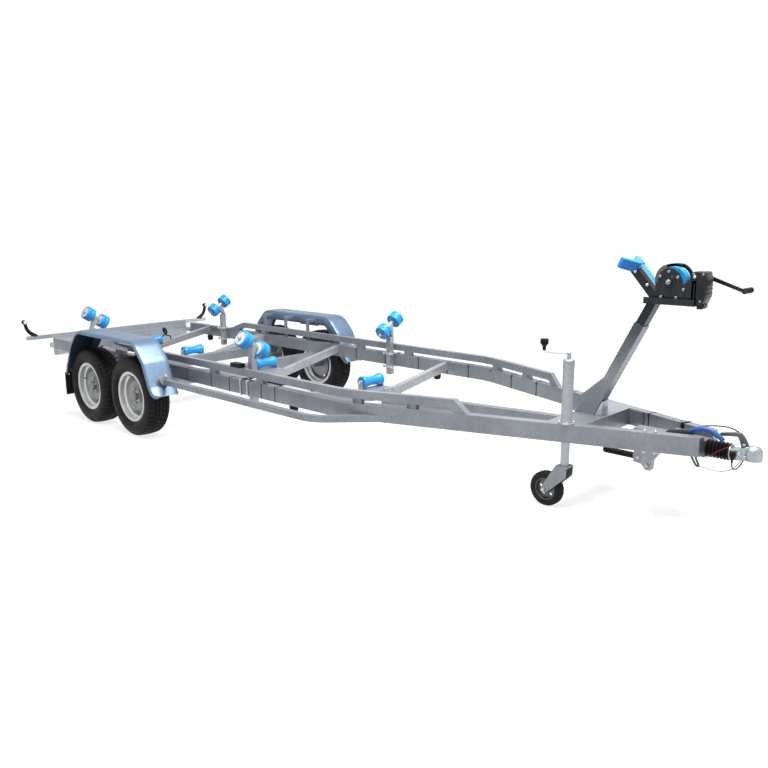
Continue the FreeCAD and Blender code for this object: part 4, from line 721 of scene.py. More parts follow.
twinSet = {"tilt": math.radians(32), "half": 0.0375, "radius": 0.062, "z": 0.806, "cap": 0.049,
           "middle": (1.478, 0.703, 0.165), "rear": (-0.895, 0.670, 0.150)}
keelSet = {"half": 0.1, "radius": 0.045, "waist": 0.033, "flare": 0.072,
           "front": (1.948, 0.510), "middle": (0.700, 0.492), "axle": (-0.389, 0.480), "rear": (-1.106, 0.504)}


def closedRing(profile, offset=0):
    return [(offset + along, radius) for along, radius in profile + profile[:1]]


def twinRoller(station, side):
    label = f"{station}_{'left' if side > 0 else 'right'}"
    name = f"sideRoller_{label}"
    ahead, aside, spacing = twinSet[station]
    tilt = twinSet["tilt"] if side > 0 else math.pi - twinSet["tilt"]
    axis = Vector((0, math.cos(tilt), math.sin(tilt)))
    centre = (ahead, side * aside, twinSet["z"])
    half, radius, cap = twinSet["half"], twinSet["radius"], twinSet["cap"]
    parts = []
    for offset in (spacing / 2, -spacing / 2):
        ringHalf = [(-half + 0.004, cap - 0.001), (-half, cap + 0.001), (-half, radius - 0.007),
                    (-half + 0.002, radius - 0.003), (-half + 0.006, radius - 0.0008), (-half + 0.012, radius),
                    (-0.005, radius), (-0.003, radius - 0.0012)]
        ring = spunPiece(f"{name}Ring", closedRing(ringHalf + mirror(ringHalf), offset), centre, 56, tilt)
        parts.append(paint(ring, plastic["roller"]))
        hubDisc = [(-half + 0.003, cap), (-half + 0.0005, cap - 0.0005), (-half + 0.0005, cap - 0.003),
                   (-half + 0.003, cap - 0.005), (-half + 0.003, 0.022), (-half + 0.0005, 0.020), (-half, 0.0102),
                   (half, 0.0102), (half - 0.0005, 0.020), (half - 0.002, 0.022), (half - 0.002, cap - 0.006),
                   (half - 0.0005, cap - 0.004), (half - 0.0005, cap - 0.0005), (half - 0.003, cap)]
        disc = spunPiece(f"{name}Hub", closedRing(hubDisc, offset), centre, 40, tilt)
        parts.append(paint(disc, plastic["hub"], plastic["roller"], choose=lambda spot,
                           normal: normal.dot(axis) <= 0))
    node = f"twin_roller_{label}"
    mountAll(parts, name, "blue_roller", node, body=node)


def keelRoller(station):
    half, radius, waist, flare = (keelSet[key] for key in ("half", "radius", "waist", "flare"))
    ahead, height = keelSet[station]
    end = [(-half, 0.0085), (-half, 0.017), (-half + 0.003, 0.019), (-half + 0.003, 0.031), (-half, 0.033),
           (-half, radius - 0.006), (-half + 0.002, radius - 0.002), (-half + 0.006, radius),
           (-flare - 0.006, radius)]
    spots = [flare * (index / 6 - 1) for index in range(13)]
    hollow = [(along, waist + (radius - waist) * (abs(along) / flare) ** 2 * 0.94) for along in spots]
    roller = spunPiece(f"keelRoller_{station}", end + hollow + mirror(end), (ahead, 0, height), 56)
    node = f"keel_roller_{station}"
    mount(paint(roller, plastic["roller"]), node, "blue_roller", node)


for station in ("middle", "rear"):
    for side in (1, -1):
        twinRoller(station, side)
for station in ("front", "middle", "axle", "rear"):
    keelRoller(station)
print("rollers made")


# Ends of the roller shafts and pins
pinSet = {"shaftOut": 0.004, "twinNut": 0.022, "keelNut": 0.016, "keelOut": 0.1105}
ends = []
for station in ("middle", "rear"):
    ahead, aside, spacing = twinSet[station]
    reach = spacing / 2 + twinSet["half"] + pinSet["shaftOut"] - 0.002
    for side in (1, -1):
        axis = Vector((0, side * math.cos(twinSet["tilt"]), math.sin(twinSet["tilt"])))
        middle = Vector((ahead, side * aside, twinSet["z"]))
        for way in (1, -1):
            ends.append(bolt("shaftNut", middle + axis * way * reach, axis * way, pinSet["twinNut"]))
for station in ("front", "middle", "axle", "rear"):
    ahead, height = keelSet[station]
    ends += boltPair("pinNut", ahead, pinSet["keelOut"], height, pinSet["keelNut"])
mountAll(ends, "rollerShaftNuts", "galvanised")
print("roller nuts made")


# Mudguards: one sheet over both wheels, its edges rolled down
fenderSet = {
    "forward": mm((50, 780), (520, 780, 150), (650, 640, 160), (732, 449, 90), (785, 385)),
    "rearward": mm((50, 780), (-410, 780, 150), (-540, 650, 160), (-674, 391)),
    "columns": mm((883, 86), (881.5, 83), (881.5, 45), (881.5, 7), (883.5, 2), (888, 0), (920, -1.2), (960, -2),
                  (1000, -2), (1040, -1.2), (1068, 0), (1079, 1.2), (1087, 4.2), (1093.5, 9.5), (1096, 16.5),
                  (1097, 24), (1095.8, 28.5), (1092.5, 30), (1088, 28.5)),
    "gauge": 0.0024, "cornerOut": 0.045, "cornerIn": 0.020, "middle": 0.965, "outReach": 0.133, "inReach": 0.1165,
    "shallow": 0.030, "run": 0.16,
}


def cornerArc(points, steps):
    route = [Vector(points[0][:2])]
    for before, corner, after in zip(points, points[1:], points[2:]):
        here = Vector(corner[:2])
        back = (Vector(before[:2]) - here).normalized()
        onward = (Vector(after[:2]) - here).normalized()
        half = (math.pi - back.angle(onward)) / 2
        reach = corner[2] * math.tan(half)
        middle = here + (back + onward).normalized() * corner[2] / math.cos(half)
        start = here + back * reach - middle
        end = here + onward * reach - middle
        turn = start.angle_signed(end)
        for index in range(steps + 1):
            angle = turn * index / steps
            route.append(middle + Matrix.Rotation(-angle, 2) @ start)
    route.append(Vector(points[-1][:2]))
    return route


def makeFender(side):
    middle, shallow, run = fenderSet["middle"], fenderSet["shallow"], fenderSet["run"]
    rearward = cornerArc(fenderSet["rearward"], 9)
    route = rearward[:0:-1] + cornerArc(fenderSet["forward"], 9)
    fine = [route[0]]
    for before, after in zip(route, route[1:]):
        count = max(1, int((after - before).length / (0.035 if before.y > 0.45 or before.x < 0 else 0.006)))
        fine += [before.lerp(after, (step + 1) / count) for step in range(count)]
    columns = fenderSet["columns"]
    sheet = startOutline(f"mudguard_{side}", [(spot.x, columns[0][0], spot.y) for spot in fine])
    for before, after in zip(columns, columns[1:]):
        bpy.ops.mesh.extrude_region_move(TRANSFORM_OT_translate={"value": (0, after[0] - before[0] + 0.00001, 0)})
    bpy.ops.object.mode_set(mode="OBJECT")
    applyPlace(sheet)
    count = len(fine)
    travelled = [0]
    for before, after in zip(fine, fine[1:]):
        travelled.append(travelled[-1] + (after - before).length)
    for index, vertex in enumerate(sheet.data.vertices):
        station = index % count
        column = columns[index // count]
        ahead = fine[min(station + 1, count - 1)] - fine[max(station - 1, 0)]
        inward = Vector((ahead.y, -ahead.x)).normalized()
        depth = column[1]
        edge = travelled[-1] - travelled[station]
        if depth > shallow + 0.005:
            depth = shallow + (depth - shallow) * min(1, edge / run, travelled[station] / run)
        corner = fenderSet["cornerOut"] if column[0] > middle else fenderSet["cornerIn"]
        short = max(0, corner - edge)
        pull = corner - math.sqrt(max(0, corner * corner - short * short))
        reach = fenderSet["outReach"] if column[0] > middle else fenderSet["inReach"]
        aside = middle + (column[0] - middle) * (1 - pull / reach)
        vertex.co = (fine[station].x + inward.x * depth, side * aside, fine[station].y + inward.y * depth)
    pickOnly(sheet)
    bpy.ops.object.mode_set(mode="EDIT")
    closeShape(sheet)
    top = max(sheet.data.polygons, key=lambda face: face.center.z)
    if top.normal.z < 0:
        sheet.data.flip_normals()
    thicken(sheet, fenderSet["gauge"])
    bpy.ops.object.shade_smooth_by_angle(angle=math.radians(50))
    return paint(sheet, steel["fender"])


guards = [makeFender(1), makeFender(-1)]
for side in (1, -1):
    hanger = flatPlate("hanger", side * 1.000, mm((-10, 738), (48, 738), (62, 702), (265, 690), (265, 662), (0, 662)),
                       -side * 0.006, 0.001)
    guards.append(paint(hanger, steel["plate"]))
mountAll(guards, "mudguards", "galvanised", "fenders")
print("mudguards made")


# Bolts of the rubber flaps
flapBits = []
for side in (1, -1):
    for aside in (0.915, 0.990, 1.065):
        for ahead, way in ((-0.680, -1), (-0.672, 1)):
            flapBits.append(bolt("flapBolt", (ahead, side * aside, 0.372), (way, 0, 0), 0.013))
mountAll(flapBits, "flapBolts", "galvanised")


# Clamps of the roller posts: bent bolts with plates and nuts
clampSet = {"rod": 0.005, "low": 0.4607, "high": 0.5713, "out": 0.7953, "start": 0.665, "spread": 0.040,
            "face": 0.679, "plate": 0.056, "plateHalf": 0.0095}


def makeClamp(ahead, side):
    bits = []
    low, high, start, out, face = (clampSet[key] for key in ("low", "high", "start", "out", "face"))
    for along in (ahead - clampSet["spread"], ahead + clampSet["spread"]):
        corners = [(side * start, low), (side * out, low), (side * out, high), (side * start, high)]
        route = roundRoute(athwart(along, corners), 0.012)
        bits.append(paint(bentRod("clampRod", route, clampSet["rod"]), steel["fixing"]))
        bits += [bolt("clampNut", (along, side * face, height), (0, -side, 0), 0.017) for height in (low, high)]
    wide, tall = clampSet["plate"], clampSet["plateHalf"]
    for height in (low, high):
        outline = rectangle(ahead - wide, ahead + wide, height - tall, height + tall)
        bits.append(paint(flatPlate("clampPlate", side * face, outline, side * 0.006), steel["fixing"]))
    return bits


clamps = []
for station in ("middle", "rear"):
    for side in (1, -1):
        clamps += makeClamp(twinSet[station][0], side)
mountAll(clamps, "postClamps", "galvanised", "post_clamps")
print("clamps made")


# Ties round the main beams
tieSet = {"far": (1.049, 1.399, 1.768, 2.071, 2.278, 2.510, 2.753, 3.022, 3.360, 3.620, 3.990, 4.213),
          "near": (0.756, 1.074, 1.300, 1.669, 1.816), "band": 0.0014, "width": 0.006}


def makeTie(ahead, side, width):
    grown = tieSet["band"]
    centre = beamCentre(ahead)
    face = centre - beamSet["half"] - grown
    ring = rectangle(face, centre + beamSet["half"] + grown, beamSet["low"] - grown, beamSet["top"] + grown)
    band = startOutline("tie", athwart(ahead, ring + ring[:1]))
    bpy.ops.mesh.remove_doubles(threshold=0.00001)
    bpy.ops.mesh.extrude_region_move(TRANSFORM_OT_translate={"value": (width, 0, 0)})
    closeShape(band)
    thicken(band, grown * 0.9)
    head = flatPlate("tieHead", face, rectangle(ahead - 0.002, ahead + width + 0.002, 0.548, 0.556), -0.004, 0.0008)
    tie = paint(joinPieces([band, head], "tie"), plastic["tie"])
    if ahead > beamSet["bend"]:
        middle = Vector((ahead, centre, 0))
        turn = Matrix.Rotation(-beamSet["turn"], 4, "Z")
        tie.data.transform(Matrix.Translation(middle) @ turn @ Matrix.Translation(-middle))
    if side < 0:
        tie.data.transform(Matrix.Diagonal((1, -1, 1, 1)))
        tie.data.flip_normals()
    return tie


ties = [makeTie(ahead, 1, tieSet["width"] if ahead < 4.2 else 0.022) for ahead in tieSet["far"]]
ties += [makeTie(ahead, -1, tieSet["width"]) for ahead in tieSet["near"]]
mountAll(ties, "beamTies", "black_rubber")
print("ties made")


# Coupling: neck, ball cup, handle and eye
couplingSet = {"axis": 0.492, "front": 4.405, "ball": 4.632, "neckHalf": 0.030, "folds": 6}
springSet = {"turns": 34, "start": 3.826, "length": 0.178, "radius": 0.0160, "height": 0.367, "wire": 0.0024}


def makeCouplingHead():
    half = couplingSet["neckHalf"]
    ball = couplingSet["ball"]
    neck = flatPlate("neck", -half, mm((4523, 459), (4523, 517), (4556, 520), (4586, 531), (4612, 542), (4612, 474),
                                       (4590, 466), (4556, 459)), half * 2, 0.007, 4)
    cup = uprightSpun("cup", mm((516, 0), (514, 16), (506, 24.5), (470, 25.5), (469.5, 42.5), (471.5, 43.6),
                                (477.5, 43.8), (480, 43.2), (496, 43.8), (514, 43.2), (528, 39), (538, 31),
                                (543.5, 19), (545, 8), (545, 0)), (ball, 0, 0), 64)
    handle = flatPlate("handle", -0.012, mm((4462, 567), (4463, 584), (4500, 592), (4548, 601), (4566, 599),
                                            (4588, 574), (4604, 544), (4604, 530), (4574, 524), (4566, 552),
                                            (4552, 579), (4500, 574)), 0.024, 0.0035, 3)
    sleeve = spunPiece("sleeve", mm((112, 20), (112, 38.5), (114, 41), (122, 41), (124, 39), (124, 20), (112, 20)),
                       (couplingSet["front"], 0, couplingSet["axis"]), 40, about="x")
    parts = [paint(piece, steel["cast"]) for piece in (neck, cup, sleeve)] + [paint(handle, steel["handle"])]
    eye = spunPiece("eye", mm((0, 0), (0, 7.2), (6, 7.2), (7, 9.5), (12.5, 9.5), (13.5, 8.5), (13.5, 0)),
                    (4.600, -0.0255, 0.484), 24, math.pi)
    parts += [paint(eye, steel["fixing"])] + boltPair("neckBolt", 4.574, half, 0.500, 0.017)
    parts += boltPair("handlePin", 4.588, 0.012, 0.545, 0.013)
    mountAll(parts, "couplingHead", "galvanised", "coupling_head")


def makeBellows():
    folds = couplingSet["folds"]
    outline = mm((0, 26.5), (0, 46.5), (4, 47.5))
    for index in range(1, folds * 10):
        share = index / (folds * 10)
        outline.append((0.004 + share * 0.108, 0.0415 + 0.006 * math.cos(share * folds * math.tau)))
    outline += mm((112, 45.5), (117, 44), (118, 42), (118, 26.5), (0, 26.5))
    boot = spunPiece("couplingBoot", outline, (couplingSet["front"], 0, couplingSet["axis"]), 56, about="x",
                     smooth=40)
    mount(paint(boot, plastic["rubber"]), "frame", "black_rubber", "coupling_bellows")


def makeBrakeLever():
    outline = mm((4190, 504), (4262, 504), (4350, 566), (4356, 590), (4330, 589), (4214, 566), (4196, 548))
    plate = flatPlate("leverPlate", -0.0583, outline, 0.014, 0.002)
    outline = mm((4318, 571), (4322, 573.5), (4346, 586.5), (4384, 601), (4420, 601), (4452, 588), (4484, 568),
                 (4497, 559.5), (4500, 557.5))
    widths = (0.6, 0.92, 1.0, 1.08, 1.08, 1.04, 1.02, 0.94, 0.62)
    grip = bentRod("leverGrip", alongside(-0.0503, outline), 0.0128, "NURBS", widths, 6)
    pin = bolt("leverPin", (4.226, -0.0583, 0.530), (0, -1, 0), 0.019)
    lever = joinPieces([paint(plate, steel["handle"]), paint(grip, plastic["grip"]), pin], "brakeLever")
    mount(lever, "frame", "blue_grip", "brake_lever")


def makeSpring():
    steps, radius = springSet["turns"] * 12, springSet["radius"]
    points = []
    for index in range(steps + 1):
        angle = math.tau * index / 12
        points.append((springSet["start"] + springSet["length"] * index / steps, radius * math.cos(angle),
                       springSet["height"] + radius * math.sin(angle)))
    bits = [paint(bentRod("returnSpring", points, springSet["wire"], sides=1), plastic["rubber"])]
    for ahead, height in ((4.040, 0.368), (4.090, 0.330), (4.150, 0.420)):
        bits += boltPair("linkBolt", ahead, 0.020, height, 0.017)
    mountAll(bits, "relaySpring", "galvanised")


makeCouplingHead()
makeBellows()
makeBrakeLever()
makeSpring()
outline = mm((4352, 465.5), (4362, 448), (4372, 430), (4384, 412), (4396, 408), (4398, 420), (4388, 436), (4380, 452),
             (4376, 465.5))
hook = bentRod("safetyHook", alongside(-0.090, outline), 0.0058, "NURBS", sides=4)
mount(paint(hook, steel["handle"]), "frame", "galvanised", "cable_hook")
print("coupling made")


# Winch: cheeks, guard, gear box, drum with its strap, crank
winchSet = {"drum": Vector((4.160, 0, 1.341)), "crank": Vector((4.290, 0, 1.372)), "floor": 1.229, "cheek": 0.062,
            "guard": 0.0835, "ring": Vector((4.164, 0, 1.350)), "half": 0.042, "drop": math.radians(19.2),
            "reach": 0.212}


def arcLine(ahead, height, radius, degrees):
    return [(ahead + math.cos(math.radians(angle)) * radius, height + math.sin(math.radians(angle)) * radius)
            for angle in degrees]


def makeGuard():
    ring, half, radius = winchSet["ring"], winchSet["half"], winchSet["guard"]
    near = -half - 0.003
    curve = arcLine(ring.x, ring.z, radius, range(70, 191, 6))
    band = startOutline("guard", alongside(near, curve))
    bpy.ops.mesh.extrude_region_move(TRANSFORM_OT_translate={"value": (0, half * 2 + 0.006, 0)})
    closeShape(band)
    for vertex in band.data.vertices:
        angle = math.degrees(math.atan2(vertex.co.z - ring.z, vertex.co.x - ring.x))
        if vertex.co.y < 0 and 0 < angle < 118:
            vertex.co.y += 0.056 * (118 - angle) / 48
    thicken(band, 0.0028, 0)
    easeEdges(band, 0.0008, 1)
    curve = arcLine(ring.x, ring.z, radius, range(108, 193, 7)) + arcLine(ring.x, ring.z, 0.0640, range(192, 107, -7))
    nearRim = flatPlate("nearRim", near, curve, 0.003, 0.0005)
    return [paint(piece, steel["bronze"]) for piece in (band, nearRim)]


def makeWinchBody():
    drum, half, floor = winchSet["drum"], winchSet["half"], winchSet["floor"]
    boss = mm((0, 10.5), (0, 30), (3, 30), (5, 28), (5, 19), (12, 17), (13, 15), (13, 10.5), (0, 10.5))
    leg = mm((4081, 1340), (4099, 1340), (4108, 1262), (4088, 1262))
    parts = []
    for side in (1, -1):
        outline = [(4.098, floor), (4.098, floor + 0.030)]
        outline += arcLine(drum.x - 0.002, drum.z + 0.008, winchSet["cheek"], range(200, -5, -17))
        outline += [(4.232, 1.330), (4.262, 1.352), (4.300, 1.352), (4.300, floor)]
        parts.append(flatPlate("cheek", side * half, outline, side * 0.004, 0.001))
        middle = drum + Vector((0, side * (half + 0.004), 0))
        parts.append(spunPiece("boss", boss, middle, 40, 0 if side > 0 else math.pi))
        parts.append(flatPlate("guardLeg", side * half, leg, side * 0.003, 0.0006))
    for ahead, height in ((4.203, 1.366), (4.155, 1.394), (4.110, 1.368), (4.237, 1.306), (4.120, 1.262),
                          (4.200, 1.262)):
        parts += boltPair("cheekBolt", ahead, half + 0.004, height, 0.014, steel["winchBolt"])
    parts += makeGuard()
    parts.append(spunPiece("farRim", closedRing(rectangle(half, half + 0.0035, 0.066, 0.0855)), winchSet["ring"], 64))
    outline = [(4.271, floor), (4.271, 1.389), (4.279, 1.398), (4.334, 1.398), (4.341, 1.391), (4.341, 1.380),
               (4.347, 1.374), (4.347, 1.272), (4.338, 1.250), (4.330, floor)]
    parts.append(flatPlate("gearBox", -0.046, outline, 0.092, 0.004, 3))
    for ahead in (4.286, 4.301, 4.316, 4.331):
        parts.append(flatPlate("rib", -0.0485, rectangle(ahead, ahead + 0.006, 1.250, 1.340), 0.097, 0.001))
    for height in (1.284, 1.306, 1.328, 1.350):
        parts.append(flatPlate("rib", -0.040, rectangle(4.3465, 4.3505, height, height + 0.007), 0.080, 0.001))
    outline = mm((4301, 1208), (4301, 1236), (4338, 1236), (4338, 1218), (4330, 1208))
    parts.append(flatPlate("sump", -0.034, outline, 0.060, 0.005, 3))
    outline = mm((0, 8.5), (0, 18), (16, 17), (18, 15), (18, 8.5), (0, 8.5))
    parts.append(spunPiece("crankSleeve", outline, winchSet["crank"] + Vector((0, 0.046, 0)), 32))
    for piece in parts:
        if not piece.data.materials:
            paint(piece, steel["dark"])
    for ahead, height in ((4.283, 1.386), (4.332, 1.386), (4.283, 1.242), (4.324, 1.250)):
        parts += boltPair("boxBolt", ahead, 0.046, height, 0.011, steel["winchBolt"])
    mountAll(parts, "winchBody", "dark_steel", "winch_housing")


def onStrap(spot, normal):
    middle = winchSet["drum"]
    return abs(spot.y) < 0.0257 and math.hypot(spot.x - middle.x, spot.z - middle.z) > 0.026


def makeDrum():
    outline = mm((-40, 10.5), (-40, 54), (-38.5, 61), (-36.5, 61), (-36, 54), (-36, 24), (-25.2, 24), (-25.2, 30))
    for index in range(14):
        outline.append((-0.0252 + 0.0006 * (index % 2), 0.030 + index * 0.0036))
    outline += mm((-25, 77.6), (-24, 78.6))
    middle = winchSet["drum"]
    drum = spunPiece("strapDrum", closedRing(outline + mirror(outline)), middle, 72, smooth=40)
    paint(drum, steel["dark"], plastic["strap"], choose=onStrap)
    half = mm((-56.5, 0), (-56.5, 8), (-55, 9.5))
    shaft = paint(spunPiece("drumShaft", half + mirror(half), middle, 24), steel["fixing"])
    nuts = [bolt("drumNut", middle + Vector((0, way * 0.055, 0)), (0, way, 0), 0.024, material)
            for way, material in ((-1, steel["winchBolt"]), (1, steel["fixing"]))]
    mountAll([drum, shaft] + nuts, "winchDrum", "blue_strap", "winch_drum", body="winch_drum")


def makeCrank():
    centre = winchSet["crank"]
    along = Vector((math.cos(winchSet["drop"]), 0, -math.sin(winchSet["drop"])))
    across = Vector((-along.z, 0, along.x))
    reach = winchSet["reach"]
    tip = centre + along * reach
    spots = ((-0.014, -0.011), (reach + 0.012, -0.009), (reach + 0.016, 0), (reach + 0.012, 0.009), (-0.014, 0.011),
             (-0.019, 0))
    outline = [centre + Vector((0, 0.076, 0)) + along * out + across * rise for out, rise in spots]
    bar = platePiece("crankBar", outline, (0, 0.006, 0), 0.0015)
    outline = mm((-56, 0), (-56, 6.5), (-54.5, 7.8), (88, 7.8), (89.5, 6), (89.5, 0))
    shaft = spunPiece("crankShaft", outline, centre, 24)
    outline = mm((82, 6), (82, 13.5), (84, 15))
    for index in range(8):
        start = 0.090 + index * 0.010
        outline += [(start, 0.0150), (start + 0.002, 0.0136), (start + 0.005, 0.0136), (start + 0.007, 0.0150)]
    outline += mm((176, 15), (180, 13), (181, 9), (181, 0))
    grip = spunPiece("crankGrip", outline, Vector((tip.x, 0, tip.z)), 32, smooth=25)
    for piece, material in ((bar, steel["dark"]), (shaft, steel["fixing"]), (grip, plastic["rubber"])):
        paint(piece, material)
    nut = bolt("crankNut", centre + Vector((0, 0.082, 0)), (0, 1, 0), 0.021)
    mountAll([bar, shaft, grip, nut], "winchCrank", "dark_steel", "winch_crank", body="winch_crank")


def makeBowPad():
    notch, nose = 3.930, 0.034
    half = mm((-50, 82), (-47, 89), (-32, 97), (-24, 96), (34, 30))
    outline = [(0, 0)] + half + [(ahead, -aside) for ahead, aside in reversed(half)]
    foot = [(notch + ahead, aside, 1.3775 + (nose - ahead) * 0.42) for ahead, aside in outline]
    block = platePiece("bowBlock", foot, (0.023, 0, 0.052), 0.005, 4)
    mount(paint(block, plastic["pad"]), "frame", "blue_roller", "bow_pad")
    outline = mm((4108.5, 1283.5), (4100, 1291.5), (4000, 1406), (3980, 1425))
    outline += [(ahead - 0.001, height + 0.0024) for ahead, height in reversed(outline)]
    strap = flatPlate("winchStrap", -0.025, outline, 0.050, 0.0006, 1)
    mount(paint(strap, plastic["strap"]), "frame", "blue_strap")


makeWinchBody()
makeDrum()
makeCrank()
makeBowPad()
armBolts = boltPair("armBolt", 4.033, 0.026, 1.318, 0.015) + boltPair("armBolt", 3.962, 0.026, 1.385, 0.015)
mountAll(armBolts, "armBolts", "galvanised")
print("winch made")


# Jockey: tube with its cap and crank, tyre and hub
jockeySet = {"ahead": 3.752, "side": -beamCentre(3.752), "wheel": 0.100, "half": 0.029, "knob": 0.156,
             "boltCircle": 0.0375, "holes": 5, "holeCircle": 0.040, "holeRadius": 0.0095}


def makeJockeyTube():
    ahead, side = jockeySet["ahead"], jockeySet["side"]
    tube = uprightSpun("jockeySleeve", mm((905, 0), (905, 24.15), (566.5, 24.15), (566.5, 43.5), (568.5, 44.5),
                                          (572.5, 44.5), (574.5, 43), (574.5, 32.5), (579, 30.2), (880, 30.2),
                                          (881, 31.8), (893, 31.8), (894, 30.2), (904, 30.2), (906, 32), (915, 32),
                                          (921, 29.5), (924.5, 24), (925, 12), (930, 11.2), (960, 10.4), (962.5, 8.5),
                                          (962.5, 0)), (ahead, side, 0), 48)
    paint(tube, steel["tube"])
    across = ahead - jockeySet["knob"]
    corners = [(ahead + 0.012, side, 0.953), (across, side, 0.947), (across, side, 0.985)]
    crank = paint(bentRod("jockeyCrank", roundRoute(corners, 0.014), 0.0056), steel["fixing"])
    knob = uprightSpun("jockeyKnob", mm((956, 5.6), (956, 8.2), (960, 9.2), (974, 9.8), (980, 11.8), (988, 18),
                                        (992, 21.2), (997, 22.2), (1014, 23), (1018.5, 21.8), (1020, 18.5),
                                        (1020, 0)), (across, side, 0), 36)
    parts = [tube, crank, paint(knob, plastic["rubber"])]
    for turn in (0.6, 2.17, 3.74, 5.31):
        spot = Vector((ahead, side, 0.5745)) + Vector((math.cos(turn), math.sin(turn), 0)) * jockeySet["boltCircle"]
        parts.append(bolt("flangeBolt", spot, (0, 0, 1), 0.010))
    mountAll(parts, "jockeyTube", "galvanised", "jockey_tube")


def makeJockeyWheel():
    low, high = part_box("jockey_wheel")
    middle = (low + high) / 2
    radius, half = jockeySet["wheel"], jockeySet["half"]
    tread = [(-half + 0.004, 0.0625), (-half, 0.065), (-half, 0.074), (-half + 0.001, 0.082), (-half + 0.003, 0.0900),
             (-half + 0.007, radius - 0.0035), (-half + 0.013, radius - 0.0006), (-0.0095, radius),
             (-0.008, radius - 0.002), (-0.006, radius - 0.002), (-0.0045, radius), (0, radius)]
    tyre = spunPiece("jockeyTyre", closedRing(tread + mirror(tread[:-1])), middle, 72)
    paint(tyre, plastic["tyre"])
    disc = mm((-24.5, 63.5), (-24.5, 58), (-19, 55), (-6, 53.5), (-6, 26), (-18, 23), (-28, 20), (-28, 8.2))
    hub = spunPiece("jockeyHub", closedRing(disc + mirror(disc)), middle, 60)
    for index in range(jockeySet["holes"]):
        angle = math.tau * (index + 0.3) / jockeySet["holes"]
        spot = middle + Vector((math.cos(angle), 0, math.sin(angle))) * jockeySet["holeCircle"]
        drill(hub, spot, jockeySet["holeRadius"], 0.06, 20)
    easeEdges(hub, 0.0007, 1, 50)
    paint(hub, steel["handle"])
    mountAll([tyre, hub], "jockeyRoadWheel", "black_rubber", "jockey_wheel", body="jockey_wheel", park=False)
    forkNuts = [bolt("forkNut", middle + Vector((0, way * 0.038, 0)), (0, way, 0), 0.019) for way in (1, -1)]
    mountAll(forkNuts, "jockeyAxleNuts", "galvanised", body="jockey_fork", park=False)


makeJockeyTube()
makeJockeyWheel()
print("jockey made")


# Rear lamp board: folded sheet with grooves, lamps, marker stalks
boardSet = {"behind": -1.660, "half": 0.740, "thick": 0.036, "grooves": (0.412, 0.447, 0.482, 0.517)}
lampSet = {"low": 0.396, "high": 0.492, "inner": 0.480, "outer": 0.720, "deep": 0.016, "lensDeep": 0.026}


def makeBoard():
    behind, half = boardSet["behind"], boardSet["half"] - 0.012
    parts = []
    for way in (1, -1):
        for height in boardSet["grooves"]:
            rib = crossPlate("boardRib", behind + way * boardSet["thick"] / 2,
                             rectangle(-half, half, height, height + 0.012), way * 0.003, 0.0024)
            parts.append(paint(rib, steel["board"]))
        for ahead in (-1.600, -1.570):
            parts.append(bolt("boardBolt", (ahead, way * 0.7265, 0.500), (0, -way, 0), 0.015))
    mountAll(parts, "boardRibs", "galvanised")


def lensBlock(name, behind, inner, outer, material, side):
    low, high = lampSet["low"] + 0.006, lampSet["high"] - 0.006
    first, second = sorted((side * inner, side * outer))
    bits = [crossPlate(name, behind, rectangle(first, second, low, high), -lampSet["lensDeep"], 0.004, 3)]
    count = int((outer - inner) / 0.008)
    for index in range(1, count):
        place = first + (second - first) * index / count
        outline = rectangle(place - 0.001, place + 0.001, low + 0.008, high - 0.008)
        bits.append(crossPlate("lensLine", behind - lampSet["lensDeep"] + 0.0005, outline, -0.0018, 0.0005, 1))
    return [paint(piece, material) for piece in bits]


def makeLamps():
    parts = []
    back = boardSet["behind"] - boardSet["thick"] / 2
    face = back - lampSet["deep"] + 0.002
    red, amber, clear = plastic["redLens"], plastic["amberLens"], plastic["clearLens"]
    for side in (1, -1):
        outline = rectangle(side * lampSet["inner"], side * lampSet["outer"], lampSet["low"], lampSet["high"])
        parts.append(paint(crossPlate("lampCase", back, outline, -lampSet["deep"], 0.005, 3), plastic["rubber"]))
        parts += lensBlock("stopLens", face, 0.556, 0.652, red, side)
        parts += lensBlock("turnLens", face, 0.654, 0.714, amber, side)
        parts += lensBlock("fogLens", face, 0.486, 0.554, red if side > 0 else clear, side)
        outline = [(side * 0.330, 0.405), (side * 0.450, 0.405), (side * 0.390, 0.505)]
        parts.append(paint(crossPlate("reflector", back, outline, -0.008, 0.004, 3), red))
    mountAll(parts, "tailLamps", "red_lens", "tail_lamps")


markerSet = {"route": mm((915, 590), (930, 602), (968, 630), (990, 665), (998, 700), (1000, 716)),
             "widths": (1.25, 1.1, 1.0, 0.95, 0.9, 0.9),
             "dome": mm((23.5, 18.5), (29, 16), (31.5, 10), (32, 0))}


def makeMarkers():
    parts = []
    behind = boardSet["behind"]
    for side in (1, -1):
        route = [(side * aside, height) for aside, height in markerSet["route"]]
        stalk = bentRod("markerStalk", athwart(behind, route), 0.0175, "NURBS", markerSet["widths"], 5)
        outline = mm((591.5, 0), (591.5, 26), (594, 27), (599, 24), (606, 16), (606, 0))
        base = uprightSpun("markerBase", outline, (behind, side * 0.915, 0), 28)
        half = mm((-24, 0), (-24, 19), (-20, 21.5))
        spot = (behind, side * 1.004, 0.729)
        cup = spunPiece("markerCup", half + mirror(half), spot, 36, about="x")
        parts += [paint(piece, plastic["rubber"]) for piece in (stalk, base, cup)]
        for way, lens in ((-1, "redLens"), (1, "clearLens")):
            dome = [(way * along, radius) for along, radius in markerSet["dome"]]
            parts.append(paint(spunPiece("markerLens", dome, spot, 32, about="x"), plastic[lens]))
    mountAll(parts, "markerLamps", "black_rubber", "marker_lamps")


makeBoard()
makeLamps()
makeMarkers()
print("lamps made")


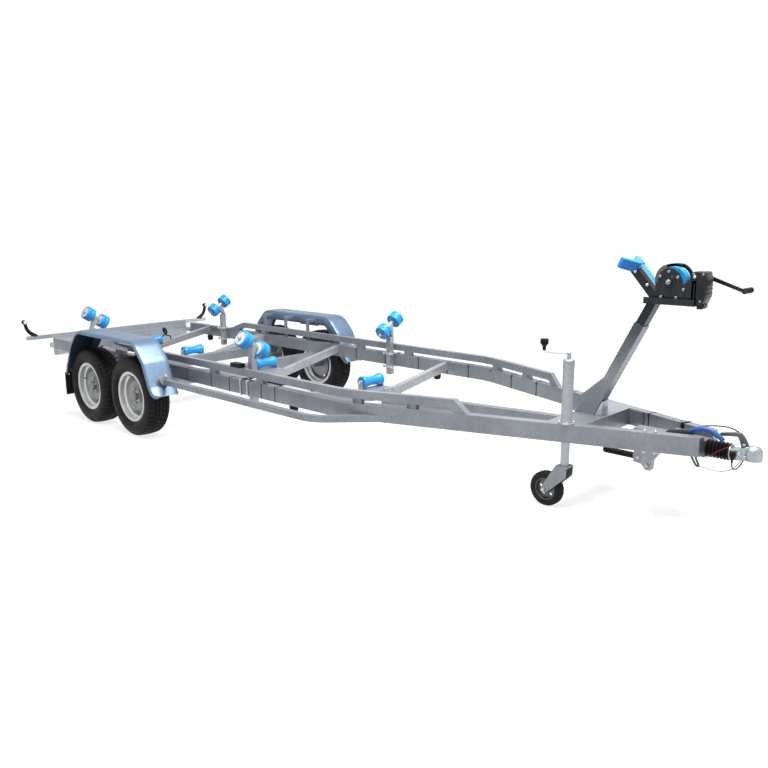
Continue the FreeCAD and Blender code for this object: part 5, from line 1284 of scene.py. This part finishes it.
# Smaller fittings: buffers, rail pad, tie ring, harness, guard tube ends
fittings = []
top = 0.4665
for ahead, aside in ((1.960, 0.745), (-1.190, 0.742)):
    for side in (1, -1):
        buffer = uprightSpun("buffer", [(top, 0), (top, 0.026), (top - 0.008, 0.030), (top - 0.044, 0.029),
                                        (top - 0.054, 0.023), (top - 0.058, 0.012), (top - 0.058, 0)],
                             (ahead, side * aside, 0), 32)
        fittings.append(paint(buffer, plastic["rubber"]))
pad = flatPlate("railPad", -0.787, mm((1315, 645.5), (1424, 645.5), (1424, 676), (1315, 676)), 0.054, 0.004, 3)
ringSpot = Vector((-1.190, 0.200, 0.566))
ring = spunPiece("tieRing", mm((-9, 19), (-9, 32), (-4, 37), (4, 37), (9, 32), (9, 19), (4, 15), (-4, 15), (-9, 19)),
                 ringSpot, 36, 0.3)
rearLeg = [ringSpot + Vector((0, -0.004, -0.030)), (-1.188, 0.215, 0.520), (-1.188, 0.262, 0.505),
           (-1.188, 0.262, 0.448)]
frontLeg = [ringSpot + Vector((0, 0.004, -0.030)), (-1.200, 0.180, 0.515), (-1.205, 0.160, 0.448)]
ringLegs = [bentRod("ringLeg", roundRoute(corners, 0.014), 0.006) for corners in (rearLeg, frontLeg)]
harness = bentRod("harness", mm((4180, 134.5, 500), (4205, 126.5, 500), (4222, 112, 504), (4232, 80, 526),
                                (4232, 52, 536), (4231, 40, 536)), 0.0036, "NURBS")
fittings += [paint(piece, plastic["rubber"]) for piece in [pad, ring, harness] + ringLegs]
mountAll(fittings, "rubberFittings", "black_rubber")
flanges = []
for side in (1, -1):
    flange = spunPiece("tubeFlange", mm((0, 0), (0, 44.5), (0.8, 46), (6.2, 46), (7, 44.5), (7, 0)),
                       (0.748, side * 0.972, 0.505), 40, about="x")
    flanges += [paint(flange, steel["plate"]), bolt("flangeBolt", (0.755, side * 0.972, 0.531), (1, 0, 0), 0.017)]
mountAll(flanges, "tubeFlanges", "galvanised")
print("fittings made")


# Taller gussets behind the winch post and the brace round its foot, its lighter zinc a painted highlight
tall = mm((3606, 566.5), (3606, 612), (3816, 797), (3826, 797), (3712, 566.5))
low = mm((3768, 566.8), (3807.5, 645.5), (3810.5, 645.5), (3810.5, 566.8))
gussets = []
for side in (1, -1):
    gusset = flatPlate("postGusset", side * 0.0185, tall, side * 0.006)
    brace = flatPlate("footBrace", side * 0.0313, low, side * 0.003, 0.0008)
    gussets += [paint(gusset, steel["frame"]), paint(brace, steel["brace"])]
brace = crossPlate("footFront", 3.8108, rectangle(-0.0343, 0.0343, 0.5668, 0.650), 0.003, 0.0008)
gussets.append(paint(brace, steel["brace"]))
mountAll(gussets, "postGussets", "galvanised")


# Bolts on the frame's plates
frameBolts = []
for ahead in (4.140, 4.190):
    for side in (1, -1):
        for height, way, across in ((beamSet["top"], 1, 0.015), (beamSet["low"], -1, 0.019)):
            spot = (ahead, side * beamCentre(ahead), height)
            frameBolts.append(bolt("housingBolt", spot, (0, 0, way), across))
for ahead in (0.340, 0.020, -0.300):
    for height in (0.500, 0.540):
        frameBolts += boltPair("strapBolt", ahead, 0.798, height, 0.017)
mountAll(frameBolts, "frameBolts", "galvanised")
print("frame bolts made")


finishes = {
    "frame": ("main_beam", "upper_rails", "guard_tubes", "drawbar_crossmember", "spine_beam",
              "axle", "fender_straps", "overrun_housing", "jockey_fork"),
    "crossing": ("crossmember", "roller_posts"),
    "tube": ("jockey_leg",),
    "board": ("light_board",),
    "post": ("winch_post",),
    "plate": ("keel_brackets", "brake_linkage"),
    "dark": ("winch_mast", "winch_bracket"),
}
for label, node in nodes.items():
    finish = next((steel[key] for key, names in finishes.items() if label.startswith(names)), steel["frame"])
    if label == "mudflaps":
        finish = plastic["rubber"]
    node.data.materials.clear()
    node.data.materials.append(finish)
print("finishes given to the frame's nodes")


stageSet = {"floor": 0.30, "floorLift": 0.78, "world": 0.31, "keyPower": 900, "fillPower": 18}


def viewRays(tree):
    rays = tree.nodes.new("ShaderNodeLightPath")
    seen = mathNode(tree, "MAXIMUM", rays.outputs["Is Camera Ray"], rays.outputs["Is Glossy Ray"])
    return mathNode(tree, "MAXIMUM", seen, rays.outputs["Is Transmission Ray"])


clearPick()
bpy.ops.mesh.primitive_plane_add(size=80, location=(0, 0, 0))
floor = bpy.context.object
floor.name = "studioFloor"
material, tree, shader = newMaterial("paleFloor", (stageSet["floor"],) * 3, 0, 0.9)
shader.inputs["Specular IOR Level"].default_value = 0
shader.inputs["Emission Color"].default_value = (1, 1, 1, 1)
length = tree.nodes.new("ShaderNodeVectorMath")
length.operation = "LENGTH"
tree.links.new(placeOutput(tree), length.inputs[0])
lift = spread(tree, length.outputs["Value"], 3.2, 9.0, stageSet["floorLift"], 1.0)
tree.links.new(mathNode(tree, "MULTIPLY", viewRays(tree), lift), shader.inputs["Emission Strength"])
floor.data.materials.append(material)

world = bpy.data.worlds.new("studioWorld")
bpy.context.scene.world = world
world.use_nodes = True
sky = world.node_tree.nodes["Background"]
sky.inputs["Color"].default_value = (1, 1, 1, 1)
seen = viewRays(world.node_tree)
world.node_tree.links.new(spread(world.node_tree, seen, 0, 1, stageSet["world"], 1.0), sky.inputs["Strength"])


def areaLamp(name, place, target, width, height, power):
    bpy.ops.object.light_add(type="AREA", location=place)
    lamp = bpy.context.object
    lamp.name = name
    lamp.data.shape = "RECTANGLE"
    lamp.data.size = width
    lamp.data.size_y = height
    lamp.data.energy = power
    lamp.rotation_euler = (Vector(target) - Vector(place)).to_track_quat("-Z", "Y").to_euler()


areaLamp("keyLamp", (2.2, -0.4, 6.0), (0.4, 0, 0.3), 7, 3, stageSet["keyPower"])
areaLamp("fillLamp", (3.5, -5.5, 3.2), (0.5, 0, 0.5), 3, 3, stageSet["fillPower"])
bpy.context.scene.view_settings.view_transform = "Standard"
print("stage lit")
